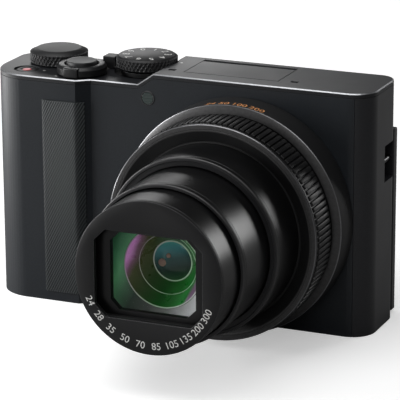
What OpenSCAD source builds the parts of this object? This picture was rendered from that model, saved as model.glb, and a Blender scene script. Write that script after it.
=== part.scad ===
// Compact travel-zoom camera with its telescoping lens run out.
// Millimetres. The base stands on z = 0, the lens points along -y, x runs to the viewer's right.

/* [Body] */
// Overall width of the body
body_width = 109.8; // [90:0.2:132]
// Depth of the body from its front plane to its back plane
body_depth = 22.3; // [19:0.1:28]
// Height of the raised deck above the lens axis
deck_over_lens = 35.1; // [34.6:0.1:43]
// How far the control deck lies below the raised deck
deck_drop = 3.2; // [2.4:0.1:4]
// Where the raised deck begins, measured from the lens axis
deck_step = 25.7; // [24:0.1:28]
// Width of the slope between the two decks
deck_slope = 4.6; // [2:0.1:6]
// Thickness of the shell walls
wall = 1.3; // [1:0.1:1.6]
// Thickness of the top cover
top_thick = 1.2; // [1:0.1:1.4]
// Depth of the small rebate round the edge of the top cover
edge_step = 0.4; // [0.2:0.1:0.6]
// Forward bulge of the hand grip
grip_bulge = 2.65; // [1.5:0.05:4]
// Width of the grip, from the end of the body to its crease
grip_width = 26.6; // [22:0.2:32]
// Width of the slanting facet that ends the grip
grip_facet = 3.5; // [2:0.1:5]
// Corner radius at the front of the grip
corner_grip = 10.5; // [8:0.1:11]
// Corner radius along the back
corner_back = 4.6; // [4:0.1:6.5]
// Corner radius at the front on the lens side
corner_lens = 6.5; // [4:0.1:8]
// Width of the separate end cover on the lens side
end_cover_width = 4.4; // [3.6:0.1:6]
// Gap at the seams of the shell
seam = 0.12; // [0.05:0.01:0.2]
// Thickness of the base plate and of the battery door
base_thick = 1.8; // [1.6:0.1:2.2]
// Length of the front cover before the rear cover begins, from mid depth
split_y = 5.2; // [4.8:0.1:5.6]

/* [Grip pad] */
// Thickness of the rubber pad
pad_thick = 0.55; // [0.4:0.05:0.8]
// Width of the pad's flat part
pad_flat = 9.9; // [7:0.1:12]
// How far the pad runs on round the crease
pad_wrap = 2.1; // [1:0.1:3]
// Height of the pad
pad_height = 54.6; // [40:0.2:56]
// Height of the pad's lower end above the base
pad_low = 2.7; // [2:0.1:5]

/* [Lens] */
// Lens axis to the right of the body's middle
lens_x = 19.3; // [17:0.1:22]
// Lens axis above the base
lens_z = 31.5; // [31.4:0.1:38]
// Radius of the fixed base ring
base_ring_r = 31.3; // [30.8:0.1:32]
// Length of the fixed base ring
base_ring_len = 9.2; // [7:0.1:11]
// Outer radius of the ribs on the control ring
rib_r = 29.4; // [28.8:0.1:30]
// Depth of the ribs on the control ring
rib_depth = 0.7; // [0.4:0.1:1]
// Number of ribs on the control ring
rib_count = 90; // [60:1:120]
// Radius of the control ring's front lip
lip_r = 29.2; // [28.4:0.1:30]
// Length of the control ring
ring_len = 12; // [10:0.1:14]
// Length of the ribbed part of the control ring
rib_len = 8.6; // [7:0.1:9.4]
// Length of the control ring's front lip
lip_len = 0.95; // [0.8:0.05:1.4]
// Width of the groove between the ribs and the lip
groove_len = 0.9; // [0.5:0.05:1.2]
// Width of the base ring's plain front face
ring_face = 2.5; // [1.6:0.1:2.6]
// Outer radius of the fixed guide tube
tube_r = 26.5; // [26:0.1:27]
// Outer radius of the first barrel
barrel_1_r = 23.8; // [23.4:0.1:24.2]
// Outer radius of the second barrel
barrel_2_r = 21.2; // [20.9:0.1:21.6]
// Outer radius of the third barrel
barrel_3_r = 19.9; // [19.6:0.1:20]
// How far the first barrel stands ahead of the control ring
reach_1 = 12.9; // [10:0.1:14]
// How far the second barrel stands ahead of the first
reach_2 = 16; // [12:0.1:17]
// How far the third barrel stands ahead of the second
reach_3 = 10.9; // [9:0.1:12]
// Length of the first barrel
barrel_1_len = 28; // [26:0.2:30]
// Length of the second barrel
barrel_2_len = 28; // [26:0.2:30]
// Length of the third barrel behind its front plate
barrel_3_len = 20.8; // [18:0.2:22]
// Radial clearance between parts that slide or turn on each other
running = 0.08; // [0.05:0.01:0.1]
// Width of the window in the front plate
window_width = 29; // [26:0.2:29.4]
// Height of the window in the front plate
window_height = 22.6; // [20:0.2:23]
// Cut across each corner of the window
window_cut = 3; // [1:0.1:4]
// Thickness of the front plate
plate_thick = 1.2; // [1:0.1:1.6]
// Thickness of one shutter blade of the lens cover
blade_thick = 0.5; // [0.4:0.05:0.6]
// Radius of the front lens element
front_glass_r = 16.3; // [15.8:0.1:17]
// Radius of the curve on the front lens element
front_glass_curve = 34; // [30:0.5:50]
// Thickness of the lip that the front lens element sits behind
frame_lip = 1.8; // [1.4:0.1:2]
// How much lower the top of the frame's opening is than the window's, and the same below
frame_inset = 1.2; // [0.8:0.1:1.6]
// How much narrower the frame's opening is than the window, on each side
frame_side_inset = 3; // [2:0.1:3.6]
// Radius of the rear lens element
rear_glass_r = 8; // [6:0.1:9]

/* [Top controls] */
// Radius of the mode dial
mode_dial_r = 8.4; // [7.4:0.1:8.6]
// Height of the mode dial above the control deck
mode_dial_high = 4.7; // [3.6:0.1:5.4]
// Mode dial's axis to the left of the body's middle
mode_dial_x = 14.6; // [14.4:0.1:15.4]
// Radius of the rear dial
rear_dial_r = 8; // [7:0.1:8.2]
// Rear dial's axis from the left end of the body
rear_dial_in = 13.3; // [12.5:0.1:14]
// Height of the rear dial above the control deck
rear_dial_high = 4.1; // [2.8:0.1:4.8]
// Number of ridges on each dial
knurl_count = 48; // [30:1:60]
// Radius of the zoom lever
lever_r = 6.8; // [6:0.1:7]
// Height of the zoom lever above the control deck
lever_high = 2.9; // [2.2:0.1:3.4]
// Radius of the shutter release button
shutter_r = 4.2; // [3.4:0.1:4.4]
// Height of the shutter release above the control deck
shutter_high = 3.7; // [3.4:0.1:4.4]
// Shutter release's axis from the left end of the body
shutter_in = 24.9; // [24.5:0.1:26]
// Radius of the record button
record_r = 2.9; // [2:0.1:3]
// Width of the power lever's finger piece
power_tab = 4; // [3:0.1:4.4]
// Height of the power lever's finger piece above the control deck
power_tab_high = 3.5; // [2.6:0.1:4]

/* [Flash] */
// Width of the flash head
flash_width = 27.4; // [24:0.2:27.6]
// Depth of the flash head's opening from front to back
flash_deep = 14.9; // [13:0.1:15]
// Height of the flash head
flash_high = 6.9; // [6:0.1:7]
// Radius of the flash head's rolled hinge end
flash_roll = 1.7; // [1.5:0.05:1.8]

/* [Back] */
// Width of the screen's frame
screen_width = 73.4; // [66:0.2:74]
// Height of the screen's frame
screen_height = 51.2; // [44:0.2:52]
// How far the screen stands out from the back
screen_thick = 2.7; // [2:0.1:3.2]
// Radius of the small back buttons
button_r = 2.6; // [2:0.1:2.8]
// Radius of the ring-shaped cursor dial
cursor_r = 9.4; // [8:0.1:10]
// Radius of the button inside the cursor dial
set_r = 3.8; // [3:0.1:4.2]
// Width of the eyepiece frame
eye_width = 18; // [15:0.2:19]
// Height of the eyepiece frame
eye_height = 10.2; // [9:0.1:10.4]
// Play between a button and the hole it works in
button_play = 0.2; // [0.12:0.02:0.3]

/* [Battery and card] */
// Width of the battery
battery_width = 33; // [30:0.2:34]
// Thickness of the battery
battery_thick = 9.6; // [8:0.1:10]
// Length of the battery
battery_len = 44; // [38:0.2:46]
// Width of the memory card
card_width = 24; // [20:0.2:24]
// Thickness of the memory card
card_thick = 2.1; // [1.8:0.1:2.2]
// Length of the memory card
card_len = 32; // [28:0.2:32]
// Play round the battery and the card
slot_play = 0.3; // [0.3:0.02:0.4]
// Radius of the hinge pins
pin_r = 0.45; // [0.4:0.01:0.5]
// Play round the edge of each door
door_play = 0.3; // [0.3:0.02:0.4]

/* [Tripod socket] */
// Radius of the tripod socket's threaded wall
socket_r = 3; // [2.6:0.05:3.1]
// Depth of the tripod socket
socket_deep = 5.4; // [4.6:0.1:5.6]
// Socket's axis to the right of the body's middle
socket_x = 6.5; // [6:0.1:7]

/* [Hidden] */
$fn = 64;
left = -body_width / 2;
right = body_width / 2;
front = -body_depth / 2;
back = body_depth / 2;
grip_front = front - grip_bulge;
crease_x = left + grip_width;
high_deck = lens_z + deck_over_lens;
low_deck = high_deck - deck_drop;
over = high_deck + 4;
under = low_deck - 13.4;
step_right = lens_x - deck_step;
step_left = step_right - deck_slope;
seam_x = right - end_cover_width;
inner_back = back - wall;
ring_back = front - base_ring_len;
ring_gap = 0.3;
ring_front = ring_back - ring_gap - ring_len;
rib_back = ring_front + lip_len + groove_len + rib_len;
neck_r = min(rib_r - rib_depth, lip_r) - 0.3;
front_1 = ring_front - reach_1;
front_2 = front_1 - reach_2;
front_3 = front_2 - reach_3;
plate_back = front_3 + plate_thick;
blade_gap = 0.3;
window_z = window_height / 2;
blade_y_1 = plate_back + blade_gap;
blade_y_2 = blade_y_1 + blade_thick + blade_gap;
frame_y = blade_y_2 + blade_thick + blade_gap;
bore_3 = barrel_3_r - 1.3;
glass_seat = frame_y + frame_lip;
glass_edge = window_height / 2 - frame_inset;
glass_apex = glass_seat + 0.2 - front_glass_curve
    + sqrt(front_glass_curve * front_glass_curve - glass_edge * glass_edge);
lamp_x = step_right - 1.65;
lamp_z = low_deck - 3.6;
lamp_r = 1.62;
strap_left_z = low_deck - 10.4;
strap_right_z = high_deck - 21.6;
tube_back = 1;
flash_left = lens_x - 19.3;
flash_right = flash_left + flash_width;
flash_pivot_y = 7;
flash_pivot_z = high_deck - flash_roll;
flash_front = flash_pivot_y + flash_roll + 0.3 - flash_deep;
flash_swing = flash_pivot_y - flash_front - 0.3;
mode_x = -mode_dial_x;
mode_y = 3.2;
rear_x = left + rear_dial_in;
rear_y = 4;
shut_x = left + shutter_in;
shut_y = -5.7;
record_x = left + 8.7;
record_y = -6.7;
battery_right = lens_x - 30.9;
battery_left = battery_right - battery_width;
battery_front = -7.6;
battery_back = battery_front + battery_thick;
card_front = battery_back + 1.2;
card_back = card_front + card_thick;
case_wall = 0.8;
case_low = 3.4;
card_x = (battery_left + battery_right) / 2;
door_left = battery_left - 1.6;
door_pivot_x = battery_right + 2;
door_front = battery_front - 0.6;
door_back = card_back + 1.1;
pivot_z = base_thick / 2;
port_low = 12;
port_high = 34;
port_front = -2.6;
port_pivot_y = 4;
port_thick = 1.4;
port_pivot_x = left + port_thick / 2;
port_pin_r = 0.3;
screen_right = right - 1;
screen_left = screen_right - screen_width;
screen_low = 0.8;
screen_high = screen_low + screen_height;
eye_x = right - 15.5;
eye_z = high_deck - 8.4;
wheel_x = eye_x - 13;
wheel_z = eye_z - 3.2;
slider_x = flash_left - 5;
slider_z = high_deck - 8.1;
view_at = [flash_left - 15, high_deck - 9];
lock_at = [left + 27.9, low_deck - 11.4];
play_at = [left + 8.4, low_deck - 25.4];
menu_at = [left + 26.9, 10];
return_at = [left + 8.4, 10];
cursor_x = left + 17.4;
cursor_z = 25;
screw_places = [[left + 4.9, 1], [socket_x + 5.5, 7.4], [right - 10.9, -6], [right - 10.9, 6]];
studs = [[lens_x - 24.9, lens_z - 18.5], [seam_x - 3.1, lens_z - 18.5],
    [lens_x - 24.9, lens_z + 15.5], [seam_x - 3.1, lens_z + 15.5]];
charcoal = [0.13, 0.14, 0.16];
black = [0.05, 0.05, 0.06];

// A block given by its two ends along each direction.
module block(x, y, z) {
    translate([x[0], y[0], z[0]])
        cube([x[1] - x[0], y[1] - y[0], z[1] - z[0]]);
}

// A round bar on the lens axis, from its back end forwards.
module lens_bar(y, length, r) {
    translate([lens_x, y, lens_z]) rotate([90, 0, 0]) cylinder(h = length, r = r);
}

// A pipe on the lens axis, from its back end forwards.
module lens_pipe(y, length, r, hole) {
    difference() {
        lens_bar(y, length, r);
        lens_bar(y + 1, length + 2, hole);
    }
}

// An upright round bar.
module post(x, y, z, r) {
    translate([x, y, z[0]]) cylinder(h = z[1] - z[0], r = r);
}

// A round bar that runs from front to back.
module rod(x, z, y, r) {
    translate([x, y[0], z]) rotate([-90, 0, 0]) cylinder(h = y[1] - y[0], r = r);
}

// What is cut away to round one corner of an outline, seen from above.
module corner_cut(x, y, to_right, to_back, r) {
    translate([x, y])
        difference() {
            translate([to_right ? 0 : -16, to_back ? 0 : -16]) square([16, 16]);
            circle(r = r);
        }
}

// The outline of the body seen from above, drawn in by an inset.
module plan(inset) {
    difference() {
        polygon([
            [left + inset, grip_front + inset], [left + inset, back - inset],
            [right - inset, back - inset], [right - inset, front + inset],
            [crease_x + grip_facet - inset / 3, front + inset],
            [crease_x - inset / 3, grip_front + inset]]);
        corner_cut(left + corner_grip, grip_front + corner_grip, false, false,
            corner_grip - inset);
        corner_cut(left + corner_back, back - corner_back, false, true, corner_back - inset);
        corner_cut(right - corner_back, back - corner_back, true, true, corner_back - inset);
        corner_cut(right - corner_lens, front + corner_lens, true, false,
            corner_lens - inset);
    }
}

// The space below the stepped deck, lowered by a drop.
module under_deck(drop) {
    translate([0, 40, 0]) rotate([90, 0, 0]) linear_extrude(height = 80)
        polygon([[left - 5, -5], [right + 5, -5], [right + 5, high_deck - drop],
            [step_right, high_deck - drop], [step_left, low_deck - drop],
            [left - 5, low_deck - drop]]);
}

// The upright wall of the shell below the top cover.
module shell_wall() {
    intersection() {
        linear_extrude(height = high_deck)
            difference() {
                plan(0);
                plan(wall);
            }
        under_deck(top_thick + seam);
    }
}

// A ridged wheel: a straight ridged band with a plain bevelled cap.
module ridged_wheel(r, band, bevel) {
    linear_extrude(height = band)
        polygon([for (i = [0 : 2 * knurl_count - 1])
            let (a = 180 * i / knurl_count, q = r - 0.35 * (i % 2))
            [q * cos(a), q * sin(a)]]);
    translate([0, 0, band]) cylinder(h = bevel, r1 = r - 0.2, r2 = r - 0.2 - bevel);
}

// One round back button with a flange that keeps it in its hole.
module back_button(place) {
    rod(place[0], place[1], [inner_back - 0.4, back + 0.8], button_r);
    rod(place[0], place[1], [inner_back - 1.1, inner_back - 0.4], button_r + 0.6);
}

// The front of the shell with the hand grip, open for the lens, lamp, strap and ports.
module front_cover() {
    color(charcoal)
    difference() {
        union() {
            intersection() {
                shell_wall();
                block([left - 1, seam_x - seam / 2], [-20, split_y - seam / 2], [0, high_deck]);
            }
            block([left + 0.6, left + 3.4], [-3.9, 3.9], [strap_left_z - 6, strap_left_z + 6]);
        }
        lens_bar(0, 30, tube_r + 0.1);
        rod(lamp_x, lamp_z, [front - 1, front + 2.2], lamp_r + 0.48);
        block([left - 1, left + 2.6], [-2.9, 2.9], [strap_left_z - 5, strap_left_z + 5]);
        post(left + 1.7, 0, [strap_left_z - 7, strap_left_z + 7], 0.82);
        block([left - 1, left + 1.5],
            [port_front - door_play, port_pivot_y + 0.7 + door_play],
            [port_low - door_play, port_high + door_play]);
        post(port_pivot_x, port_pivot_y, [port_low - 1.2, port_high + 1.2], port_pin_r + 0.04);
    }
}

// The rear of the shell with holes for the buttons, the eyepiece and the slider.
module rear_cover() {
    color(black)
    difference() {
        intersection() {
            shell_wall();
            block([left - 1, seam_x - seam / 2], [split_y + seam / 2, 20], [0, high_deck]);
        }
        block([eye_x - eye_width / 2 - 0.1, eye_x + eye_width / 2 + 0.1], [0, 20],
            [eye_z - eye_height / 2 - 0.1, eye_z + eye_height / 2 + 0.1]);
        block([wheel_x - 3.2, wheel_x + 3.2], [0, 20], [wheel_z - 1.4, wheel_z + 1.4]);
        block([slider_x - 4.4, slider_x + 2.4], [0, 20], [slider_z - 1.1, slider_z + 1.1]);
        for (p = [view_at, lock_at, play_at, menu_at, return_at])
            rod(p[0], p[1], [0, 20], button_r + button_play);
        rod(cursor_x, cursor_z, [0, 20], cursor_r + button_play);
        post(rear_x, rear_y, [low_deck - 1.5, high_deck], rear_dial_r + 0.4);
    }
}

// The stepped top plate with a fine rebate along its edge and openings for the controls.
module top_cover() {
    color(charcoal)
    difference() {
        intersection() {
            union() {
                linear_extrude(height = high_deck) plan(edge_step);
                intersection() {
                    linear_extrude(height = high_deck) plan(0);
                    under_deck(edge_step);
                }
            }
            difference() {
                under_deck(0);
                under_deck(top_thick);
            }
        }
        post(mode_x, mode_y, [low_deck - 0.7, high_deck + 1], mode_dial_r + 0.5);
        post(mode_x, mode_y, [under, over], 2 + button_play);
        post(rear_x, rear_y, [under, over], 2 + button_play);
        post(shut_x, shut_y, [under, over], shutter_r + button_play);
        post(record_x, record_y, [under, over], record_r + button_play);
        post(record_x, record_y, [low_deck - 0.4, over], record_r + 0.6);
        block([flash_left, flash_right],
            [flash_front, flash_pivot_y + flash_roll + 0.3], [under, over]);
        block([step_right + 1.8, step_right + 3.4], [-6, -2.2], [high_deck - 0.5, over]);
        block([flash_right + 3.1, flash_right + 4.7], [-6.2, -2.4], [high_deck - 0.5, over]);
    }
}

// The end cover on the lens side with its strap recess.
module end_cover() {
    color(black)
    difference() {
        union() {
            intersection() {
                shell_wall();
                block([seam_x + seam / 2, right + 1], [-20, 20], [0, high_deck]);
            }
            intersection() {
                linear_extrude(height = high_deck) plan(0.2);
                block([seam_x + 0.7, right - 0.3], [-0.3, 9.4],
                    [strap_right_z - 6.2, strap_right_z + 6.2]);
            }
        }
        block([right - 2.8, right + 1], [0.9, 8.4],
            [strap_right_z - 5, strap_right_z + 5]);
        translate([right - 1.7, -0.4, strap_right_z]) rotate([-90, 0, 0])
            cylinder(h = 10, r = 0.82);
    }
}

// The base plate with openings for the battery door, the tripod bush and the screws.
module base_plate() {
    color(black)
    difference() {
        linear_extrude(height = base_thick) plan(wall + seam);
        block([door_left - door_play, door_pivot_x + pivot_z + door_play],
            [door_front - door_play, door_back + door_play], [-1, 4]);
        translate([door_pivot_x, door_front - 1.6, pivot_z]) rotate([-90, 0, 0])
            cylinder(h = door_back - door_front + 3.2, r = pin_r + 0.02);
        post(socket_x, 0, [-1, 4], 4.75);
        for (p = screw_places) {
            post(p[0], p[1], [-1, 1], 1.5);
            post(p[0], p[1], [-1, 4], 0.95);
        }
    }
}

// The rubber pad that wraps round the crease of the grip.
module grip_pad() {
    color([0.17, 0.19, 0.2])
    intersection() {
        translate([0, 0, pad_low]) linear_extrude(height = pad_height)
            difference() {
                plan(-pad_thick);
                plan(-0.02);
            }
        block([crease_x - pad_flat, crease_x + pad_wrap], [-20, 0], [0, high_deck]);
    }
}

// The inner frame behind the lens, open for the sensor.
module chassis() {
    color([0.62, 0.64, 0.66])
    difference() {
        union() {
            block([lens_x - 27.9, seam_x - 0.1], [1.3, 2.7], [lens_z - 23.5, lens_z + 19.5]);
            for (p = studs) rod(p[0], p[1], [2.7, 5.6], 2.2);
        }
        block([lens_x - 10, lens_x + 10], [0, 4], [lens_z - 8, lens_z + 8]);
        for (p = studs) rod(p[0], p[1], [1, 6], 0.9);
    }
}

// The two strap bars, one at each end of the body.
module strap_bars() {
    color([0.5, 0.5, 0.52]) {
        post(left + 1.7, 0, [strap_left_z - 5.7, strap_left_z + 5.7], 0.8);
        translate([right - 1.7, -0.1, strap_right_z]) rotate([-90, 0, 0])
            cylinder(h = 9.3, r = 0.8);
    }
}

// The ring round the focus lamp.
module lamp_bezel() {
    color([0.1, 0.1, 0.11])
    difference() {
        rod(lamp_x, lamp_z, [front - 0.15, front + 2.15], lamp_r + 0.43);
        rod(lamp_x, lamp_z, [front - 1, front + 3], lamp_r + 0.04);
    }
}

// The clear window of the focus lamp.
module lamp_lens() {
    color([0.55, 0.6, 0.56])
    rod(lamp_x, lamp_z, [front - 0.05, front + 1.95], lamp_r);
}

// The threaded bush of the tripod socket.
module tripod_bush() {
    color([0.7, 0.7, 0.72])
    difference() {
        post(socket_x, 0, [0, 6], 4.7);
        post(socket_x, 0, [-1, socket_deep], socket_r);
    }
}

// The screws that hold the base plate.
module base_screws() {
    color([0.35, 0.35, 0.36])
    for (p = screw_places) {
        difference() {
            post(p[0], p[1], [0.1, 0.95], 1.4);
            block([p[0] - 0.8, p[0] + 0.8], [p[1] - 0.16, p[1] + 0.16], [0, 0.5]);
            block([p[0] - 0.16, p[0] + 0.16], [p[1] - 0.8, p[1] + 0.8], [0, 0.5]);
        }
        post(p[0], p[1], [0.9, 4], 0.85);
    }
}

// The steel pins of the battery door, the port door and the flash.
module hinge_pins() {
    color([0.75, 0.75, 0.77]) {
        translate([door_pivot_x, door_front - 1.4, pivot_z]) rotate([-90, 0, 0])
            cylinder(h = door_back - door_front + 2.8, r = pin_r);
        post(port_pivot_x, port_pivot_y, [port_low - 1.1, port_high + 1.1], port_pin_r);
        translate([flash_left - 0.7, flash_pivot_y, flash_pivot_z]) rotate([0, 90, 0])
            cylinder(h = flash_width + 1.4, r = pin_r);
    }
}

// The plain fixed ring at the root of the lens.
module base_ring() {
    color(charcoal)
    difference() {
        union() {
            lens_bar(front - 0.02, base_ring_len - 0.42, base_ring_r);
            translate([lens_x, ring_back + 0.4, lens_z]) rotate([90, 0, 0])
                cylinder(h = 0.4, r1 = base_ring_r, r2 = base_ring_r - 0.4);
        }
        lens_bar(front + 1, base_ring_len + 2, tube_r + 0.02);
        lens_bar(ring_back + 1, 3, base_ring_r - ring_face);
    }
}

// The fixed tube that guides the barrels and carries the control ring.
module guide_tube() {
    color(black) {
        difference() {
            union() {
                lens_bar(tube_back, tube_back - ring_front - 1.3, tube_r);
                block([lens_x - 27.6, lens_x + 29], [tube_back - 1.6, tube_back],
                    [lens_z - 22.5, lens_z + 22.5]);
            }
            lens_bar(tube_back + 1, 50, barrel_1_r + running);
        }
    }
}

// The ribbed control ring with its grooved front lip.
module control_ring() {
    color(black)
    difference() {
        union() {
            translate([lens_x, rib_back, lens_z]) rotate([90, 0, 0])
                linear_extrude(height = rib_len)
                    polygon([for (i = [0 : 2 * rib_count - 1])
                        let (a = 180 * i / rib_count, q = rib_r - rib_depth * (i % 2))
                        [q * cos(a), q * sin(a)]]);
            lens_bar(ring_back - ring_gap, ring_len - 0.4, neck_r);
            lens_bar(ring_front + lip_len, lip_len - 0.3, lip_r);
            translate([lens_x, ring_front + 0.3, lens_z]) rotate([90, 0, 0])
                cylinder(h = 0.3, r1 = lip_r, r2 = lip_r - 0.3);
        }
        lens_bar(ring_back + 1, ring_len + ring_gap, tube_r + running);
        lens_bar(ring_back + 1, ring_len + 5, barrel_1_r + 0.6);
    }
}

// The first and widest sliding barrel.
module barrel_1() {
    color(black)
    difference() {
        union() {
            lens_bar(front_1 + barrel_1_len, barrel_1_len - 0.5, barrel_1_r);
            translate([lens_x, front_1 + 0.5, lens_z]) rotate([90, 0, 0])
                cylinder(h = 0.5, r1 = barrel_1_r, r2 = barrel_1_r - 0.5);
        }
        lens_bar(front_1 + barrel_1_len + 1, 40, barrel_2_r + running);
    }
}

// The second barrel with the web that holds the rear lens.
module barrel_2() {
    color(black)
    difference() {
        union() {
            lens_bar(front_2 + barrel_2_len, barrel_2_len - 0.4, barrel_2_r);
            translate([lens_x, front_2 + 0.4, lens_z]) rotate([90, 0, 0])
                cylinder(h = 0.4, r1 = barrel_2_r, r2 = barrel_2_r - 0.4);
        }
        lens_bar(front_2 + barrel_2_len - 4, 40, barrel_3_r + running);
        lens_bar(front_2 + barrel_2_len + 1, 3.5, barrel_3_r - 1);
        lens_bar(front_2 + barrel_2_len + 1, 40, rear_glass_r + 0.05);
    }
}

// The third and narrowest barrel, a plain tube.
module barrel_3() {
    color(black)
    lens_pipe(plate_back + 0.02 + barrel_3_len, barrel_3_len, barrel_3_r, bore_3);
}

// The outline of the window, drawn in by an inset, its corners cut off.
module window_outline(inset_x, inset_z) {
    w = window_width / 2 - inset_x;
    h = window_height / 2 - inset_z;
    c = window_cut - inset_z / 2;
    polygon([[-w, -h + c], [-w, h - c], [-w + c, h], [w - c, h],
        [w, h - c], [w, -h + c], [w - c, -h], [-w + c, -h]]);
}

// The round front plate with its window.
module front_plate() {
    color(black)
    difference() {
        union() {
            lens_bar(plate_back, plate_thick - 0.3, barrel_3_r);
            translate([lens_x, front_3 + 0.3, lens_z]) rotate([90, 0, 0])
                cylinder(h = 0.3, r1 = barrel_3_r, r2 = barrel_3_r - 0.3);
        }
        translate([lens_x, plate_back + 1, lens_z]) rotate([90, 0, 0])
            linear_extrude(height = 5) window_outline(0, 0);
    }
}

// One blade of the lens cover: the part of a disc beyond the window's edge.
module blade(y) {
    intersection() {
        lens_bar(y + blade_thick, blade_thick, bore_3 - 0.3);
        block([0, 60], [-100, 0], [lens_z + window_z + 0.1, lens_z + 30]);
    }
}

// The upper blade nearer the window.
module blade_upper_inner() {
    color([0.2, 0.2, 0.21]) blade(blade_y_1);
}

// The upper blade behind it.
module blade_upper_outer() {
    color([0.2, 0.2, 0.21]) blade(blade_y_2);
}

// The lower blade nearer the window.
module blade_lower_inner() {
    color([0.2, 0.2, 0.21])
    translate([0, 0, 2 * lens_z]) mirror([0, 0, 1]) blade(blade_y_1);
}

// The lower blade behind it.
module blade_lower_outer() {
    color([0.2, 0.2, 0.21])
    translate([0, 0, 2 * lens_z]) mirror([0, 0, 1]) blade(blade_y_2);
}

// The stepped frame behind the window that carries the front lens.
module window_frame() {
    color(black)
    difference() {
        lens_bar(frame_y + 5.4, 5.4, bore_3 - 0.05);
        translate([lens_x, glass_seat + 1, lens_z]) rotate([90, 0, 0])
            linear_extrude(height = 5) window_outline(frame_side_inset, frame_inset);
        lens_bar(frame_y + 6, 6 - frame_lip, front_glass_r + 0.05);
    }
}

// The front lens element.
module front_glass() {
    color([0.35, 0.4, 0.45, 0.5])
    intersection() {
        lens_bar(frame_y + 5.3, 8, front_glass_r);
        translate([lens_x, glass_apex + front_glass_curve, lens_z])
            sphere(r = front_glass_curve);
    }
}

// The rear lens element in the second barrel.
module rear_glass() {
    color([0.35, 0.4, 0.45, 0.5])
    lens_bar(front_2 + barrel_2_len, 3.8, rear_glass_r);
}

// The picture sensor with its carrier.
module sensor() {
    color([0.2, 0.25, 0.3])
    union() {
        block([lens_x - 13, lens_x + 13], [2.85, 4.2], [lens_z - 11, lens_z + 11]);
        block([lens_x - 8.4, lens_x + 8.4], [1.5, 2.9], [lens_z - 6.2, lens_z + 6.2]);
    }
}

// The circuit board with a few large components.
module main_board() {
    color([0.1, 0.28, 0.16])
    difference() {
        union() {
            block([lens_x - 27.7, seam_x - 0.1], [5.7, 6.9], [lens_z - 23.5, lens_z + 19.5]);
            block([lens_x - 21.3, lens_x - 7.3], [4.4, 5.8], [lens_z + 4.5, lens_z + 16.5]);
            block([lens_x + 14.7, lens_x + 24.7], [3, 5.8], [lens_z - 15.5, lens_z - 5.5]);
            block([lens_x - 17.3, lens_x + 10.7], [6.8, 8.4], [lens_z - 19.5, lens_z - 15.5]);
        }
        for (p = studs) rod(p[0], p[1], [4, 9], 1);
    }
}

// The zoom lever, a ring with a finger tab round the shutter release.
module zoom_lever() {
    color(charcoal)
    difference() {
        union() {
            post(shut_x, shut_y, [low_deck + 0.3, low_deck + lever_high - 0.4], lever_r);
            translate([shut_x, shut_y, low_deck + lever_high - 0.4])
                cylinder(h = 0.4, r1 = lever_r, r2 = lever_r - 0.5);
            block([shut_x - 2.2, shut_x + 2.2], [shut_y - lever_r - 0.7, shut_y],
                [low_deck + 0.3, low_deck + lever_high - 0.3]);
        }
        post(shut_x, shut_y, [under, over], shutter_r + 0.35);
    }
}

// The shutter release with a stem and a keeper under the deck.
module shutter_button() {
    color([0.3, 0.31, 0.33])
    union() {
        post(shut_x, shut_y, [low_deck - top_thick - 1, low_deck + shutter_high - 0.3],
            shutter_r);
        translate([shut_x, shut_y, low_deck + shutter_high - 0.3])
            cylinder(h = 0.3, r1 = shutter_r, r2 = shutter_r - 0.9);
        post(shut_x, shut_y, [low_deck - top_thick - 1.6, low_deck - top_thick - 0.4],
            shutter_r + 0.8);
    }
}

// The mode dial on its spindle.
module mode_dial() {
    color(charcoal)
    union() {
        translate([mode_x, mode_y, low_deck + 1.2])
            ridged_wheel(mode_dial_r, mode_dial_high - 1.6, 0.4);
        post(mode_x, mode_y, [low_deck - 3.2, low_deck + 1.4], 2);
    }
}

// The power lever under the mode dial.
module power_lever() {
    color(charcoal)
    difference() {
        union() {
            post(mode_x, mode_y, [low_deck - 0.4, low_deck + 0.9], 7.2);
            block([mode_x - 11, mode_x - 6], [mode_y - power_tab / 2, mode_y + power_tab / 2],
                [low_deck + 0.3, low_deck + 0.9]);
            block([mode_x - 12.4, mode_x - mode_dial_r - 0.4],
                [mode_y - power_tab / 2, mode_y + power_tab / 2],
                [low_deck + 0.3, low_deck + power_tab_high]);
        }
        post(mode_x, mode_y, [under, over], 2.3);
    }
}

// The rear dial on its spindle.
module rear_dial() {
    color(charcoal)
    union() {
        translate([rear_x, rear_y, low_deck + 0.3])
            ridged_wheel(rear_dial_r, rear_dial_high - 0.7, 0.4);
        post(rear_x, rear_y, [low_deck - 3.2, low_deck + 0.5], 2);
    }
}

// The record button.
module record_button() {
    color([0.6, 0.1, 0.1])
    union() {
        post(record_x, record_y, [low_deck - top_thick - 1, low_deck - 0.1], record_r);
        post(record_x, record_y, [low_deck - top_thick - 1.2, low_deck - top_thick - 0.4],
            record_r + 0.6);
    }
}

// The box in the top cover that the flash head folds into.
module flash_well() {
    color(black)
    difference() {
        block([flash_left - 0.8, flash_right + 0.8],
            [flash_front - 0.8, flash_pivot_y + flash_roll + 1],
            [high_deck - flash_high - 1.1, high_deck - top_thick - 0.05]);
        block([flash_left - 0.1, flash_right + 0.1],
            [flash_front - 0.1, flash_pivot_y + flash_roll + 0.3],
            [high_deck - flash_high - 0.4, high_deck]);
        block([flash_left - 2, flash_right + 2],
            [flash_pivot_y - pin_r - 0.02, flash_pivot_y + pin_r + 0.02],
            [flash_pivot_z - pin_r - 0.02, high_deck]);
    }
}

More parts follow.
